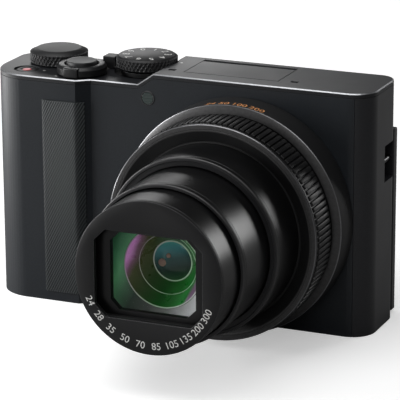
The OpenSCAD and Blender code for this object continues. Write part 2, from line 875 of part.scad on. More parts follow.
// The flash head, rolled at the back where it turns on its pin and curved at the front.
module flash_head() {
    color(charcoal)
    difference() {
        union() {
            intersection() {
                block([flash_left + 0.3, flash_right - 0.3],
                    [flash_front + 0.4, flash_pivot_y],
                    [high_deck - flash_high, high_deck]);
                translate([flash_left, flash_pivot_y, flash_pivot_z]) rotate([0, 90, 0])
                    cylinder(h = flash_width, r = flash_swing);
            }
            translate([flash_left + 0.3, flash_pivot_y, flash_pivot_z]) rotate([0, 90, 0])
                cylinder(h = flash_width - 0.6, r = flash_roll);
        }
        block([flash_left + 2.9, flash_right - 2.9], [flash_front, flash_front + 2.3],
            [high_deck - flash_high + 0.9, high_deck - 1.7]);
        block([flash_left, flash_right], [flash_pivot_y - 3, flash_pivot_y + 0.02],
            [high_deck - flash_high - 1, flash_pivot_z - flash_roll]);
        translate([flash_left - 1, flash_pivot_y, flash_pivot_z]) rotate([0, 90, 0])
            cylinder(h = flash_width + 2, r = pin_r + running);
    }
}

// The window of the flash.
module flash_lens() {
    color([0.85, 0.87, 0.88, 0.6])
    block([flash_left + 3, flash_right - 3], [flash_front + 1.3, flash_front + 2.2],
        [high_deck - flash_high + 1, high_deck - 1.8]);
}

// The slider on the back that frees the flash.
module flash_slider() {
    color(charcoal)
    union() {
        block([slider_x - 2, slider_x + 2], [inner_back - 0.6, back + 1],
            [slider_z - 0.8, slider_z + 0.8]);
        block([slider_x - 3.6, slider_x + 2.1], [inner_back - 1.2, inner_back - 0.4],
            [slider_z - 1.6, slider_z + 1.6]);
    }
}

// The frame that stands out from the back and holds the screen.
module screen_frame() {
    color(black)
    difference() {
        block([screen_left, screen_right], [back + 0.02, back + screen_thick],
            [screen_low, screen_high]);
        block([screen_left + 2.2, screen_right - 2.2], [back + screen_thick - 1, back + 6],
            [screen_low + 2.2, screen_high - 2.2]);
    }
}

// The glass of the screen.
module screen_glass() {
    color([0.08, 0.09, 0.1])
    block([screen_left + 2.3, screen_right - 2.3],
        [back + screen_thick - 0.95, back + screen_thick - 0.1],
        [screen_low + 2.3, screen_high - 2.3]);
}

// The eyepiece frame, a short box through the back wall.
module eyepiece_frame() {
    color(black)
    difference() {
        union() {
            block([eye_x - eye_width / 2, eye_x + eye_width / 2], [2, back + 2.5],
                [eye_z - eye_height / 2, eye_z + eye_height / 2]);
            block([eye_x - eye_width / 2 - 1, eye_x + eye_width / 2 + 1],
                [back + 0.02, back + 1.4],
                [eye_z - eye_height / 2, eye_z + eye_height / 2 + 0.8]);
        }
        block([eye_x - eye_width / 2 + 1, eye_x + eye_width / 2 - 1], [3, back + 6],
            [eye_z - eye_height / 2 + 1, eye_z + eye_height / 2 - 1]);
    }
}

// The lens of the eyepiece.
module eyepiece_lens() {
    color([0.4, 0.42, 0.5, 0.5])
    block([eye_x - eye_width / 2 + 1.05, eye_x + eye_width / 2 - 1.05], [back - 3, back - 0.6],
        [eye_z - eye_height / 2 + 1.05, eye_z + eye_height / 2 - 1.05]);
}

// The small wheel that sets the eyepiece focus.
module focus_wheel() {
    color(charcoal)
    difference() {
        post(wheel_x, back - 1.2, [wheel_z - 1.05, wheel_z + 1.05], 2.8);
        for (i = [0 : 11])
            translate([wheel_x, back - 1.2, wheel_z]) rotate([0, 0, 30 * i])
                block([2.6, 3.2], [-0.25, 0.25], [-2, 2]);
    }
}

// The rubber thumb rest.
module thumb_rest() {
    color([0.17, 0.19, 0.2])
    difference() {
        block([left + 3.9, left + 11.9], [back - 5, back + 1.6],
            [low_deck - 19.4, low_deck - 6.4]);
        linear_extrude(height = high_deck) plan(-0.02);
    }
}

// The button that switches between screen and eyepiece.
module view_button() {
    color(charcoal) back_button(view_at);
}

// The lock button beside the thumb rest.
module lock_button() {
    color(charcoal) back_button(lock_at);
}

// The playback button.
module play_button() {
    color(charcoal) back_button(play_at);
}

// The menu button.
module menu_button() {
    color(charcoal) back_button(menu_at);
}

// The return button.
module return_button() {
    color(charcoal) back_button(return_at);
}

// The turning ring round the middle button.
module cursor_dial() {
    color(charcoal)
    difference() {
        union() {
            rod(cursor_x, cursor_z, [inner_back - 0.6, back + 1], cursor_r);
            translate([cursor_x, back + 1, cursor_z]) rotate([-90, 0, 0])
                cylinder(h = 0.4, r1 = cursor_r, r2 = cursor_r - 0.5);
        }
        rod(cursor_x, cursor_z, [0, 20], set_r + button_play);
        for (i = [0 : 35])
            translate([cursor_x, 0, cursor_z]) rotate([0, 10 * i, 0])
                block([cursor_r - 0.9, cursor_r - 0.2], [back + 1.1, back + 2], [-0.2, 0.2]);
    }
}

// The middle button.
module set_button() {
    color(charcoal)
    rod(cursor_x, cursor_z, [inner_back - 1.2, back + 1], set_r);
}

// The chamber for the battery and the memory card.
module battery_case() {
    color([0.25, 0.26, 0.27])
    difference() {
        block([battery_left - slot_play - case_wall, battery_right + slot_play + case_wall],
            [battery_front - slot_play - case_wall, card_back + slot_play + case_wall],
            [case_low, case_low + battery_len + 1.6]);
        block([battery_left - slot_play, battery_right + slot_play],
            [battery_front - slot_play, battery_back + slot_play],
            [0, case_low + battery_len + 0.8]);
        block([card_x - card_width / 2 - slot_play, card_x + card_width / 2 + slot_play],
            [card_front - slot_play, card_back + slot_play],
            [0, case_low + card_len + 1.1]);
    }
}

// The battery.
module battery() {
    color([0.18, 0.18, 0.2])
    difference() {
        block([battery_left, battery_right], [battery_front, battery_back],
            [case_low + 0.2, case_low + 0.2 + battery_len]);
        for (i = [0 : 2])
            block([battery_left + 3 + 4 * i, battery_left + 5.4 + 4 * i],
                [battery_front + 3, battery_front + 6.6],
                [case_low + battery_len - 0.2, case_low + battery_len + 1]);
    }
}

// The memory card with one corner cut off.
module memory_card() {
    color([0.12, 0.13, 0.3])
    translate([0, card_back, 0]) rotate([90, 0, 0]) linear_extrude(height = card_thick)
        polygon([[card_x - card_width / 2, case_low + 0.4],
            [card_x + card_width / 2, case_low + 0.4],
            [card_x + card_width / 2, case_low + 0.4 + card_len],
            [card_x - card_width / 2 + 4, case_low + 0.4 + card_len],
            [card_x - card_width / 2, case_low - 3.6 + card_len]]);
}

// The battery door, rolled at the end where it turns on its pin.
module battery_door() {
    color(black)
    difference() {
        union() {
            block([door_left, door_pivot_x], [door_front, door_back], [0, base_thick]);
            translate([door_pivot_x, door_front, pivot_z]) rotate([-90, 0, 0])
                cylinder(h = door_back - door_front, r = pivot_z);
        }
        translate([door_pivot_x, door_front - 1, pivot_z]) rotate([-90, 0, 0])
            cylinder(h = door_back - door_front + 2, r = pin_r + running);
        block([door_left + 0.8, door_left + 7.4], [-3.5, 1.5], [-1, 0.9]);
        block([door_left + 1.2, door_left + 5.8], [-2, 0], [-1, 3]);
    }
}

// The sliding latch in the battery door.
module door_latch() {
    color([0.3, 0.3, 0.32])
    union() {
        block([door_left + 3.4, door_left + 7.1], [-3.2, 1.2], [0.05, 0.6]);
        block([door_left + 3.7, door_left + 5.5], [-1.7, -0.3], [0.5, 2.4]);
        block([door_left + 0.9, door_left + 5.5], [-1.7, -0.3], [2.1, 2.9]);
    }
}

// The door over the ports, rolled at the edge where it turns on its pin.
module port_door() {
    color(black)
    difference() {
        union() {
            block([left, left + port_thick], [port_front, port_pivot_y],
                [port_low, port_high]);
            post(port_pivot_x, port_pivot_y, [port_low, port_high], port_thick / 2);
        }
        post(port_pivot_x, port_pivot_y, [port_low - 1, port_high + 1], port_pin_r + running);
    }
}

// The block that carries the two ports.
module port_block() {
    color([0.55, 0.55, 0.58])
    difference() {
        block([left + 1.8, left + 8], [-3.2, 4.4], [12.4, 33.6]);
        block([left + 1, left + 7.2], [-0.9, 2.1], [14.2, 22.2]);
        block([left + 1, left + 7.2], [-0.9, 2.1], [24.8, 31.2]);
        block([left + 3, left + 7.2], [0.3, 0.9], [15, 21.4]);
    }
}

front_cover();
rear_cover();
top_cover();
end_cover();
base_plate();
grip_pad();
chassis();
strap_bars();
lamp_bezel();
lamp_lens();
tripod_bush();
base_screws();
hinge_pins();
base_ring();
guide_tube();
control_ring();
barrel_1();
barrel_2();
barrel_3();
front_plate();
blade_upper_inner();
blade_upper_outer();
blade_lower_inner();
blade_lower_outer();
window_frame();
front_glass();
rear_glass();
sensor();
main_board();
zoom_lever();
shutter_button();
mode_dial();
power_lever();
rear_dial();
record_button();
flash_well();
flash_head();
flash_lens();
flash_slider();
screen_frame();
screen_glass();
eyepiece_frame();
eyepiece_lens();
focus_wheel();
thumb_rest();
view_button();
lock_button();
play_button();
menu_button();
return_button();
cursor_dial();
set_button();
battery_case();
battery();
memory_card();
battery_door();
door_latch();
port_door();
port_block();
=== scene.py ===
from math import cos, pi, radians, sin, sqrt

import bmesh
import bpy
from mathutils import Matrix, Vector


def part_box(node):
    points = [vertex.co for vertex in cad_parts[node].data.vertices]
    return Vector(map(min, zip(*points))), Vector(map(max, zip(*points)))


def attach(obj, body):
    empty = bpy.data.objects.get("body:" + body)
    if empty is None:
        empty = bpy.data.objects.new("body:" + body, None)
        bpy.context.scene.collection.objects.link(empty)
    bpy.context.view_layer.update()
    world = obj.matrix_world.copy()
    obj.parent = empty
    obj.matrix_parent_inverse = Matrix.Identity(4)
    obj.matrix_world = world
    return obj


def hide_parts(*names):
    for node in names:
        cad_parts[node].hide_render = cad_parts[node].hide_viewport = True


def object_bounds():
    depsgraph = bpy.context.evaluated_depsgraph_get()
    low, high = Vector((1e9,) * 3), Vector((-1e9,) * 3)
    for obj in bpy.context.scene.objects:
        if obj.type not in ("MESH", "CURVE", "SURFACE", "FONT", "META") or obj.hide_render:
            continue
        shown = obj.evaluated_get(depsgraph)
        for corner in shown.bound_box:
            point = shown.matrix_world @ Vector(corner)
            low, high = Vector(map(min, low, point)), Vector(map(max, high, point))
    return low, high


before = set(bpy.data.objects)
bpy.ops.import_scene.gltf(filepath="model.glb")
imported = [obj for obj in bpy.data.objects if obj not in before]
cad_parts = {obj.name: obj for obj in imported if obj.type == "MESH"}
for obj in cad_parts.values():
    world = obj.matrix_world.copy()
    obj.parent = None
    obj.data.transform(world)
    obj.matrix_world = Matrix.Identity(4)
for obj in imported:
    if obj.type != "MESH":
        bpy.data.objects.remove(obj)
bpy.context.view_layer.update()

mm = 0.001

# ---------------------------------------------------------------- front cover
# The front half of the body is one pressed and blasted aluminium shell that bulges
# into the hand grip. Its edges are broken by hand and it is anodised satin black.


def new_finish(name):
    """Starts a finish and gives its node tree, its shader and the place on the piece."""
    finish = bpy.data.materials.new(name)
    finish.use_nodes = True
    tree = finish.node_tree
    place = tree.nodes.new("ShaderNodeTexCoord")
    return finish, tree, tree.nodes["Principled BSDF"], place.outputs["Object"]


def speckle(tree, place, scale, detail=2):
    """An even random grain over the piece."""
    noise = tree.nodes.new("ShaderNodeTexNoise")
    noise.inputs["Scale"].default_value = scale
    noise.inputs["Detail"].default_value = detail
    tree.links.new(place, noise.inputs["Vector"])
    return noise.outputs["Fac"]


def two_tones(tree, level, dark, pale, start=0.0, end=1.0):
    """Shades from one tone to another as a level rises."""
    shade = tree.nodes.new("ShaderNodeValToRGB")
    first, last = shade.color_ramp.elements
    first.position, first.color = start, list(dark) + [1]
    last.position, last.color = end, list(pale) + [1]
    tree.links.new(level, shade.inputs["Fac"])
    return shade.outputs["Color"]


def drive(tree, level, socket, low, high, start=0.0, end=1.0):
    """Takes a socket from low to high as a level goes from start to end."""
    spread = tree.nodes.new("ShaderNodeMapRange")
    spread.inputs["From Min"].default_value = start
    spread.inputs["From Max"].default_value = end
    spread.inputs["To Min"].default_value = low
    spread.inputs["To Max"].default_value = high
    tree.links.new(level, spread.inputs["Value"])
    tree.links.new(spread.outputs["Result"], socket)


def relief(tree, level, socket, strength, depth):
    """Raises the surface a little where a level is high."""
    bump = tree.nodes.new("ShaderNodeBump")
    bump.inputs["Strength"].default_value = strength
    bump.inputs["Distance"].default_value = depth * mm
    tree.links.new(level, bump.inputs["Height"])
    tree.links.new(bump.outputs["Normal"], socket)
    return bump


def satin_black(name, tone, edge_wear_and_highlight_tone, rough, metallic=0.0, grain=1500, bite=0.05):
    """A blasted and anodised coat: fine grain, cloudy gloss and lighter edges, which stand for
    rubbed wear and, where the edge tone is bright, for a painted edge highlight.
    """
    finish, tree, shader, place = new_finish(name)
    fine = speckle(tree, place, grain, 3)
    cloud = speckle(tree, place, 38, 4)
    coat = two_tones(tree, fine, [0.82 * c for c in tone], [1.16 * c for c in tone], 0.3, 0.75)
    soft = tree.nodes.new("ShaderNodeBevel")
    soft.samples = 4
    soft.inputs["Radius"].default_value = 0.22 * mm
    flat = tree.nodes.new("ShaderNodeNewGeometry")
    turn = tree.nodes.new("ShaderNodeVectorMath")
    turn.operation = "DOT_PRODUCT"
    tree.links.new(soft.outputs["Normal"], turn.inputs[0])
    tree.links.new(flat.outputs["Normal"], turn.inputs[1])
    edge_wear_and_highlight_mask = tree.nodes.new("ShaderNodeMath")
    edge_wear_and_highlight_mask.operation = "MULTIPLY"
    drive(tree, turn.outputs["Value"], edge_wear_and_highlight_mask.inputs[0], 0, 0.75, 0.995, 0.9)
    tree.links.new(cloud, edge_wear_and_highlight_mask.inputs[1])
    # Edges are mixed toward the edge tone: rubbed wear, and a painted highlight line where that
    # tone is bright.
    mix = tree.nodes.new("ShaderNodeMix")
    mix.data_type = "RGBA"
    mix.inputs["B"].default_value = list(edge_wear_and_highlight_tone) + [1]
    tree.links.new(edge_wear_and_highlight_mask.outputs["Value"], mix.inputs["Factor"])
    tree.links.new(coat, mix.inputs["A"])
    tree.links.new(mix.outputs["Result"], shader.inputs["Base Color"])
    drive(tree, cloud, shader.inputs["Roughness"], rough - 0.04, rough + 0.05, 0.3, 0.7)
    relief(tree, fine, shader.inputs["Normal"], bite, 0.05)
    shader.inputs["Metallic"].default_value = metallic
    return finish


def seat(name, work, finish, body, slot, *nodes):
    """Makes a worked mesh into a piece that rides on a body in place of its CAD nodes."""
    mesh = bpy.data.meshes.new(name)
    work.to_mesh(mesh)
    work.free()
    piece = bpy.data.objects.new(name, mesh)
    bpy.context.scene.collection.objects.link(piece)
    mesh.materials.append(finish)
    mesh.shade_smooth()
    mesh.set_sharp_from_angle(angle=radians(32))
    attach(piece, body)
    if nodes:
        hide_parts(*nodes)
    return piece


def broken_edges(node, finish, body, slot, width=0.2, name=None):
    """Takes a machined shape from the frame and breaks its sharp edges."""
    work = bmesh.new()
    work.from_mesh(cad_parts[node].data)
    bmesh.ops.remove_doubles(work, verts=work.verts, dist=0.002 * mm)
    bmesh.ops.dissolve_degenerate(work, edges=work.edges, dist=0.001 * mm)
    piece = seat(name or node + "_finished", work, finish, body, slot, node)
    edge = piece.modifiers.new("broken_edge", "BEVEL")
    edge.width = width * mm
    edge.segments = 2
    edge.limit_method = "ANGLE"
    edge.angle_limit = radians(35)
    edge.use_clamp_overlap = True
    piece.modifiers.new("even_shading", "WEIGHTED_NORMAL").keep_sharp = True
    return piece


shell_black = satin_black(
    "shell_black", (0.0125, 0.0155, 0.0195), (0.05, 0.053, 0.058), 0.4, 0.0, 2300, 0.06)
broken_edges("front_cover", shell_black, "camera_body", "front_shell", 0.3)

# ------------------------------------------------------------------ top cover
# A stepped plate closes the body above. Its rim is cut to a narrow polished bevel,
# so a bright line runs along the front edge of both decks and down the slope.
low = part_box("zoom_lever")[0].z / mm - 0.3
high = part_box("top_cover")[1].z / mm
plate_low, plate_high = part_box("top_cover")
left, right = plate_low.x / mm, plate_high.x / mm
grip_front, back = plate_low.y / mm, plate_high.y / mm
grip_bulge, grip_width, facet_width = 2.65, 26.6, 3.5
corner_grip, corner_lens, corner_back = 10.5, 6.5, 4.6
front = grip_front + grip_bulge
step_foot, step_top = -11.0, -6.4
deck_thick = 1.2
mode_x, mode_y = -14.6, 3.2
rear_x, rear_y = left + 13.3, 4.0
shut_x, shut_y = left + 24.9, -5.7
rec_x, rec_y = left + 8.7, -6.7
mode_r = (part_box("mode_dial")[1].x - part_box("mode_dial")[0].x) / 2 / mm
rec_r = 3.5


def arc(x, y, r, start, end, steps):
    """Points of an arc seen from above, in degrees."""
    return [(x + r * cos(radians(start + (end - start) * i / steps)),
             y + r * sin(radians(start + (end - start) * i / steps)))
            for i in range(steps + 1)]


def joined(work, corners):
    """Joins corners with edges into a closed line."""
    for i, corner in enumerate(corners):
        work.edges.new((corners[i - 1], corner))


def new_points(grown):
    """The points that an extrusion has made."""
    return [v for v in grown["geom"] if isinstance(v, bmesh.types.BMVert)]


rim = (arc(left + corner_grip, grip_front + corner_grip, corner_grip, 180, 270, 14)
       + [(left + grip_width, grip_front), (left + grip_width + facet_width, front)]
       + arc(right - corner_lens, front + corner_lens, corner_lens, 270, 360, 10)
       + arc(right - corner_back, back - corner_back, corner_back, 0, 90, 10)
       + arc(left + corner_back, back - corner_back, corner_back, 90, 180, 10))
cut_outs = [arc(mode_x, mode_y, mode_r + 0.5, 0, 360, 56)[:-1],
            arc(rear_x, rear_y, 2.2, 0, 360, 20)[:-1], arc(shut_x, shut_y, 4.4, 0, 360, 40)[:-1],
            arc(rec_x, rec_y, rec_r, 0, 360, 40)[:-1],
            [(0.18, -5.72), (27.22, -5.72), (27.22, 9), (0.18, 9)]]
for x in (-4.6, 30.5):
    cut_outs.append([(x, -5.4), (x + 1.9, -5.4), (x + 1.9, -3.9), (x, -3.9)])
plate = bmesh.new()
for loop in [rim] + cut_outs:
    joined(plate, [plate.verts.new((x * mm, y * mm, low * mm)) for x, y in loop])
bmesh.ops.triangle_fill(plate, edges=plate.edges, use_beauty=True)
for x in (step_foot, step_top):
    bmesh.ops.bisect_plane(plate, geom=plate.verts[:] + plate.edges[:] + plate.faces[:],
                           plane_co=(x * mm, 0, 0), plane_no=(1, 0, 0))
for v in plate.verts:
    if v.co.x > (step_top - 0.01) * mm:
        v.co.z = high * mm
    elif v.co.x > (step_foot + 0.01) * mm:
        v.co.z = (low + (v.co.x / mm - step_foot) / (step_top - step_foot) * (high - low)) * mm
bmesh.ops.recalc_face_normals(plate, faces=plate.faces)
if plate.faces[0].normal.z < 0:
    bmesh.ops.reverse_faces(plate, faces=plate.faces)
tops = set(plate.verts)
border = [e for e in plate.edges if e.is_boundary]
on_rim = [e for e in border if all(any((v.co.x / mm - x) ** 2 + (v.co.y / mm - y) ** 2 < 0.0004
          for x, y in rim) or abs(v.co.y / mm - front) < 0.01 or abs(v.co.y / mm - back) < 0.01
          for v in e.verts)]
grown = bmesh.ops.extrude_face_region(plate, geom=plate.faces[:])
bmesh.ops.translate(plate, verts=new_points(grown), vec=(0, 0, -deck_thick * mm))
bmesh.ops.recalc_face_normals(plate, faces=plate.faces)
rim_edges = [e for e in plate.edges if len(e.link_faces) == 2
             and all(v in tops for v in e.verts) and e.calc_face_angle(0) > 0.9]
outer = [e for e in rim_edges if e in set(on_rim)]
inner = [e for e in rim_edges if e not in set(on_rim)]
bmesh.ops.bevel(plate, geom=inner, offset=0.12 * mm, segments=1, affect="EDGES",
                profile=0.5, material=-1)
outer = [e for e in outer if e.is_valid]
bmesh.ops.bevel(plate, geom=outer, offset=0.27 * mm, segments=1, affect="EDGES",
                profile=0.5, material=1)
deck_black = satin_black(
    "deck_black", (0.011, 0.0118, 0.014), (0.05, 0.053, 0.058), 0.44, 0.0, 2300, 0.06)
deck = seat("top_cover_plate", plate, deck_black, "camera_body", "deck_shell", "top_cover")
deck.data.materials.append(satin_black(
    "polished_bevel", (0.46, 0.47, 0.49), (0.6, 0.61, 0.62), 0.32, 0.85, 900, 0.01))

# The floors of the recesses under the mode dial, the record button and the sound
# holes are the dark inner face of the plate, a little below its surface. Their near-black,
# far darker than the deck, is partly their own tone and partly painted shade in the recesses.
floors = bmesh.new()
for x, y, r, deep in ((mode_x, mode_y, mode_r + 0.55, 0.72), (rec_x, rec_y, rec_r + 0.05, 0.42)):
    line = [floors.verts.new(((x + reach) * mm, y * mm, (low - deep) * mm)) for reach in (2.0, r)]
    bmesh.ops.spin(floors, geom=line + [floors.edges.new(line)], cent=(x * mm, y * mm, 0),
                   axis=(0, 0, 1), dvec=(0, 0, 0), angle=2 * pi, steps=48, use_merge=True)
for x in (-4.65, 30.45):
    made = bmesh.ops.create_grid(floors, x_segments=4, y_segments=3, size=1 * mm)
    bmesh.ops.translate(floors, verts=made["verts"],
                        vec=((x + 1) * mm, -4.65 * mm, (high - 0.6) * mm))
bmesh.ops.recalc_face_normals(floors, faces=floors.faces)
for face in floors.faces:
    if face.normal.z < 0:
        face.normal_flip()
# Near-black finish of the recess floors: partly their own tone, partly painted shade.
recess_shade_black = satin_black(
    "recess_shade_black", (0.004, 0.004, 0.0045), (0.01, 0.01, 0.011), 0.6, 0.0, 1200, 0.1)
seat("recess_shade_floors", floors, recess_shade_black, "camera_body", "dark_trim")

# ------------------------------------------- end cover, rear cover, base plate
# The lens-side end is a second shell that wraps round the corner. The rear cover is
# moulded with holes for the buttons, and the base plate is screwed on from below.
# This black is lighter than the front shell's: partly its own tone, partly painted light that
# lifts the unlit back, end and base.
side_black_painted_light = satin_black(
    "side_black_painted_light", (0.02, 0.0205, 0.0235), (0.05, 0.052, 0.056), 0.4, 0.0, 1900, 0.05)
broken_edges("end_cover", side_black_painted_light, "camera_body", "dark_shell", 0.3)
broken_edges("rear_cover", side_black_painted_light, "camera_body", "dark_shell", 0.22)
broken_edges("base_plate", side_black_painted_light, "camera_body", "dark_shell", 0.15)
broken_edges("battery_door", side_black_painted_light, "battery_door", "dark_shell", 0.15)
broken_edges("port_door", side_black_painted_light, "port_door", "dark_shell", 0.15)

# ------------------------------------------------------------------- grip pad
# A strip of moulded rubber is glued round the crease of the grip. Its face carries
# fine slanting ridges inside a narrow plain border.
pad_low, pad_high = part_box("grip_pad")
crease = left + grip_width
pad_out = 0.55
facet = Vector((facet_width, grip_bulge)).normalized()
facet_out = Vector((facet.y, -facet.x))
skin = [(crease - 9.9, grip_front - 0.02), (crease - 9.9, grip_front - pad_out + 0.2),
        (crease - 9.6, grip_front - pad_out), (crease - 9.0, grip_front - pad_out)]
skin += [(crease - 9.0 + 0.9 * i, grip_front - pad_out) for i in range(1, 10)]
skin += [(crease - 0.18, grip_front - pad_out + 0.01), (crease + 0.17, grip_front - pad_out + 0.1)]
end_of_pad = 2.1 / facet.x
for run in (0.5, 1.0, 1.5, 2.0, end_of_pad - 0.22):
    spot = Vector((crease, grip_front)) + facet * run + facet_out * pad_out
    skin.append((spot.x, spot.y))
spot = Vector((crease, grip_front)) + facet * end_of_pad + facet_out * (pad_out - 0.24)
skin.append((spot.x, spot.y))
spot = Vector((crease, grip_front)) + facet * end_of_pad + facet_out * 0.03
skin.append((spot.x, spot.y))
skin += [(crease, grip_front - 0.03)]
pad = bmesh.new()
corners = [pad.verts.new((x * mm, y * mm, pad_low.z)) for x, y in skin]
pad.faces.new(corners)
grown = bmesh.ops.extrude_face_region(pad, geom=pad.faces[:])
bmesh.ops.translate(pad, verts=new_points(grown), vec=(0, 0, pad_high.z - pad_low.z))
bmesh.ops.recalc_face_normals(pad, faces=pad.faces)
ends = [e for e in pad.edges if all(abs(v.co.z - pad_high.z) < 1e-6 for v in e.verts)
        or all(abs(v.co.z - pad_low.z) < 1e-6 for v in e.verts)]
ends = [e for e in ends if max(v.co.y for v in e.verts) < -13.9 * mm
        or max(v.co.x for v in e.verts) > (crease + 0.3) * mm]
bmesh.ops.bevel(pad, geom=ends, offset=0.3 * mm, segments=2, affect="EDGES",
                profile=0.5, material=-1, clamp_overlap=True)


def ridged_rubber(name, tone, pitch, slant, depth):
    """Charcoal rubber with moulded slanting ridges, painted shade in their grooves and a dusty
    bloom.
    """
    finish, tree, shader, place = new_finish(name)
    turn = tree.nodes.new("ShaderNodeMapping")
    turn.inputs["Rotation"].default_value = (0, radians(slant), 0)
    tree.links.new(place, turn.inputs["Vector"])
    wave = tree.nodes.new("ShaderNodeTexWave")
    wave.wave_type = "BANDS"
    wave.bands_direction = "X"
    wave.inputs["Scale"].default_value = 2 * pi / (20 * pitch * mm)
    tree.links.new(turn.outputs["Vector"], wave.inputs["Vector"])
    ridges = wave.outputs["Fac"]
    dust = speckle(tree, place, 900)
    # The colour runs from dark in the grooves to pale on the crests: painted shade and painted
    # highlight that follow the ridges.
    shade = two_tones(tree, ridges, [0.45 * c for c in tone], [1.35 * c for c in tone])
    speck = tree.nodes.new("ShaderNodeMix")
    speck.data_type = "RGBA"
    speck.blend_type = "MULTIPLY"
    speck.inputs["Factor"].default_value = 0.35
    tree.links.new(shade, speck.inputs["A"])
    tree.links.new(dust, speck.inputs["B"])
    tree.links.new(speck.outputs["Result"], shader.inputs["Base Color"])
    drive(tree, ridges, shader.inputs["Roughness"], 0.68, 0.5)
    grit = relief(tree, dust, shader.inputs["Normal"], 0.2, 0.04)
    relief(tree, ridges, grit.inputs["Normal"], 0.8, depth)
    return finish


grip_rubber = ridged_rubber("grip_rubber", (0.02, 0.026, 0.028), 0.62, -28, 0.12)
seat("grip_pad_moulding", pad, grip_rubber, "camera_body", "grip_rubber", "grip_pad")

# ------------------------------------------------------------------ base ring
# The lens stands on a plain turned ring screwed to the front cover. Its side is matt
# black, and its front face is a shallow cone left in grey anodising.
lens_x = (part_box("base_ring")[0].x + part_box("base_ring")[1].x) / 2 / mm
lens_z = (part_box("base_ring")[0].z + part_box("base_ring")[1].z) / 2 / mm


def turned(profile, steps=144, closed=True, x=lens_x, z=lens_z):
    """Turns a profile of (y, radius) points round an axis that runs front to back."""
    work = bmesh.new()
    points = [work.verts.new(((x + r) * mm, y * mm, z * mm)) for y, r in profile]
    rim_line = [work.edges.new(pair) for pair in zip(points, points[1:])]
    if closed:
        rim_line.append(work.edges.new((points[-1], points[0])))
    bmesh.ops.spin(work, geom=points + rim_line, cent=(x * mm, 0, z * mm),
                   axis=(0, 1, 0), dvec=(0, 0, 0), angle=2 * pi, steps=steps, use_merge=True)
    bmesh.ops.remove_doubles(work, verts=work.verts, dist=0.0005 * mm)
    bmesh.ops.recalc_face_normals(work, faces=work.faces)
    return work


def second_finish(work, finish_index, reach_low, reach_high, y_low, y_high):
    """Gives the faces of a turned piece within a band of radius and depth another finish."""
    for part in work.faces:
        middle = part.calc_center_median()
        reach = sqrt((middle.x / mm - lens_x) ** 2 + (middle.z / mm - lens_z) ** 2)
        if reach_low < reach < reach_high and y_low < middle.y / mm < y_high:
            part.material_index = finish_index


ring_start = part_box("base_ring")[1].y / mm
ring_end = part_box("base_ring")[0].y / mm
ring_r = (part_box("base_ring")[1].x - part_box("base_ring")[0].x) / 2 / mm
work = turned([(ring_start, 26.8), (ring_start, ring_r - 0.2), (ring_start - 0.2, ring_r),
               (ring_end + 0.62, ring_r), (ring_end + 0.5, ring_r - 0.05),
               (ring_end + 0.38, ring_r - 0.22), (ring_end + 0.02, ring_r - 2.2),
               (ring_end, ring_r - 2.4), (ring_end + 0.12, ring_r - 2.5),
               (ring_end + 1.0, ring_r - 2.5), (ring_end + 1.0, 26.8)])
second_finish(work, 1, ring_r - 2.45, ring_r - 0.15, ring_end - 0.1, ring_end + 0.45)
second_finish(work, 2, ring_r - 0.15, ring_r - 0.01, ring_end, ring_end + 0.62)
ring_side = satin_black(
    "ring_side", (0.006, 0.0062, 0.007), (0.03, 0.03, 0.032), 0.55, 0.0, 2200, 0.06)
piece = seat("base_ring_turned", work, ring_side, "camera_body", "front_shell", "base_ring")
grey_face = satin_black(
    "grey_face", (0.075, 0.074, 0.075), (0.14, 0.14, 0.14), 0.38, 0.5, 1400, 0.02)
bright_line = satin_black(
    "bright_line", (0.22, 0.22, 0.23), (0.3, 0.3, 0.3), 0.3, 0.8, 900, 0.01)
piece.data.materials.append(grey_face)
piece.data.materials.append(bright_line)

# --------------------------------------------------------------- control ring
# The ring is turned from aluminium and cut with straight axial ribs; a groove and a
# smooth lip with a grey front face finish it. It is anodised black.
rib_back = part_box("control_ring")[1].y / mm
lip_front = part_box("control_ring")[0].y / mm
rib_r = (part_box("control_ring")[1].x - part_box("control_ring")[0].x) / 2 / mm
rib_from, rib_to = rib_back - 1.55, lip_front + 1.85
work = turned([(rib_back, 26.7), (rib_back, 28.4), (rib_from + 0.04, 28.4), (rib_from, 28.72),
               (rib_to, 28.72), (rib_to - 0.05, 28.32), (lip_front + 1.0, 28.32),
               (lip_front + 0.95, rib_r - 0.34), (lip_front + 0.85, rib_r - 0.2),
               (lip_front + 0.3, rib_r - 0.2), (lip_front + 0.2, rib_r - 0.24),
               (lip_front + 0.02, rib_r - 0.46), (lip_front, rib_r - 0.62),
               (lip_front, 27.95), (lip_front + 0.07, 27.9), (lip_front + 0.07, 27.75),
               (lip_front, 27.7), (lip_front, 27.4), (lip_front + 0.08, 27.25),
               (lip_front + 1.05, 24.7), (lip_front + 1.2, 24.45), (lip_front + 2.5, 24.45),
               (lip_front + 2.5, 26.7)], 180)
second_finish(work, 1, 27.3, rib_r - 0.3, lip_front - 0.1, lip_front + 0.06)
second_finish(work, 2, rib_r - 0.5, rib_r - 0.21, lip_front, lip_front + 0.25)
ribs = 115
bar = bmesh.new()
bmesh.ops.create_cube(bar, size=1)
bmesh.ops.scale(bar, verts=bar.verts, vec=(1.14 * mm, (rib_from - rib_to) * mm, 0.76 * mm))
tall = [e for e in bar.edges if all(v.co.z > 0 for v in e.verts)]
bmesh.ops.bevel(bar, geom=tall, offset=0.16 * mm, segments=2, affect="EDGES",
                profile=0.5, material=-1)
shape = bpy.data.meshes.new("one_rib")
bar.to_mesh(shape)
bar.free()
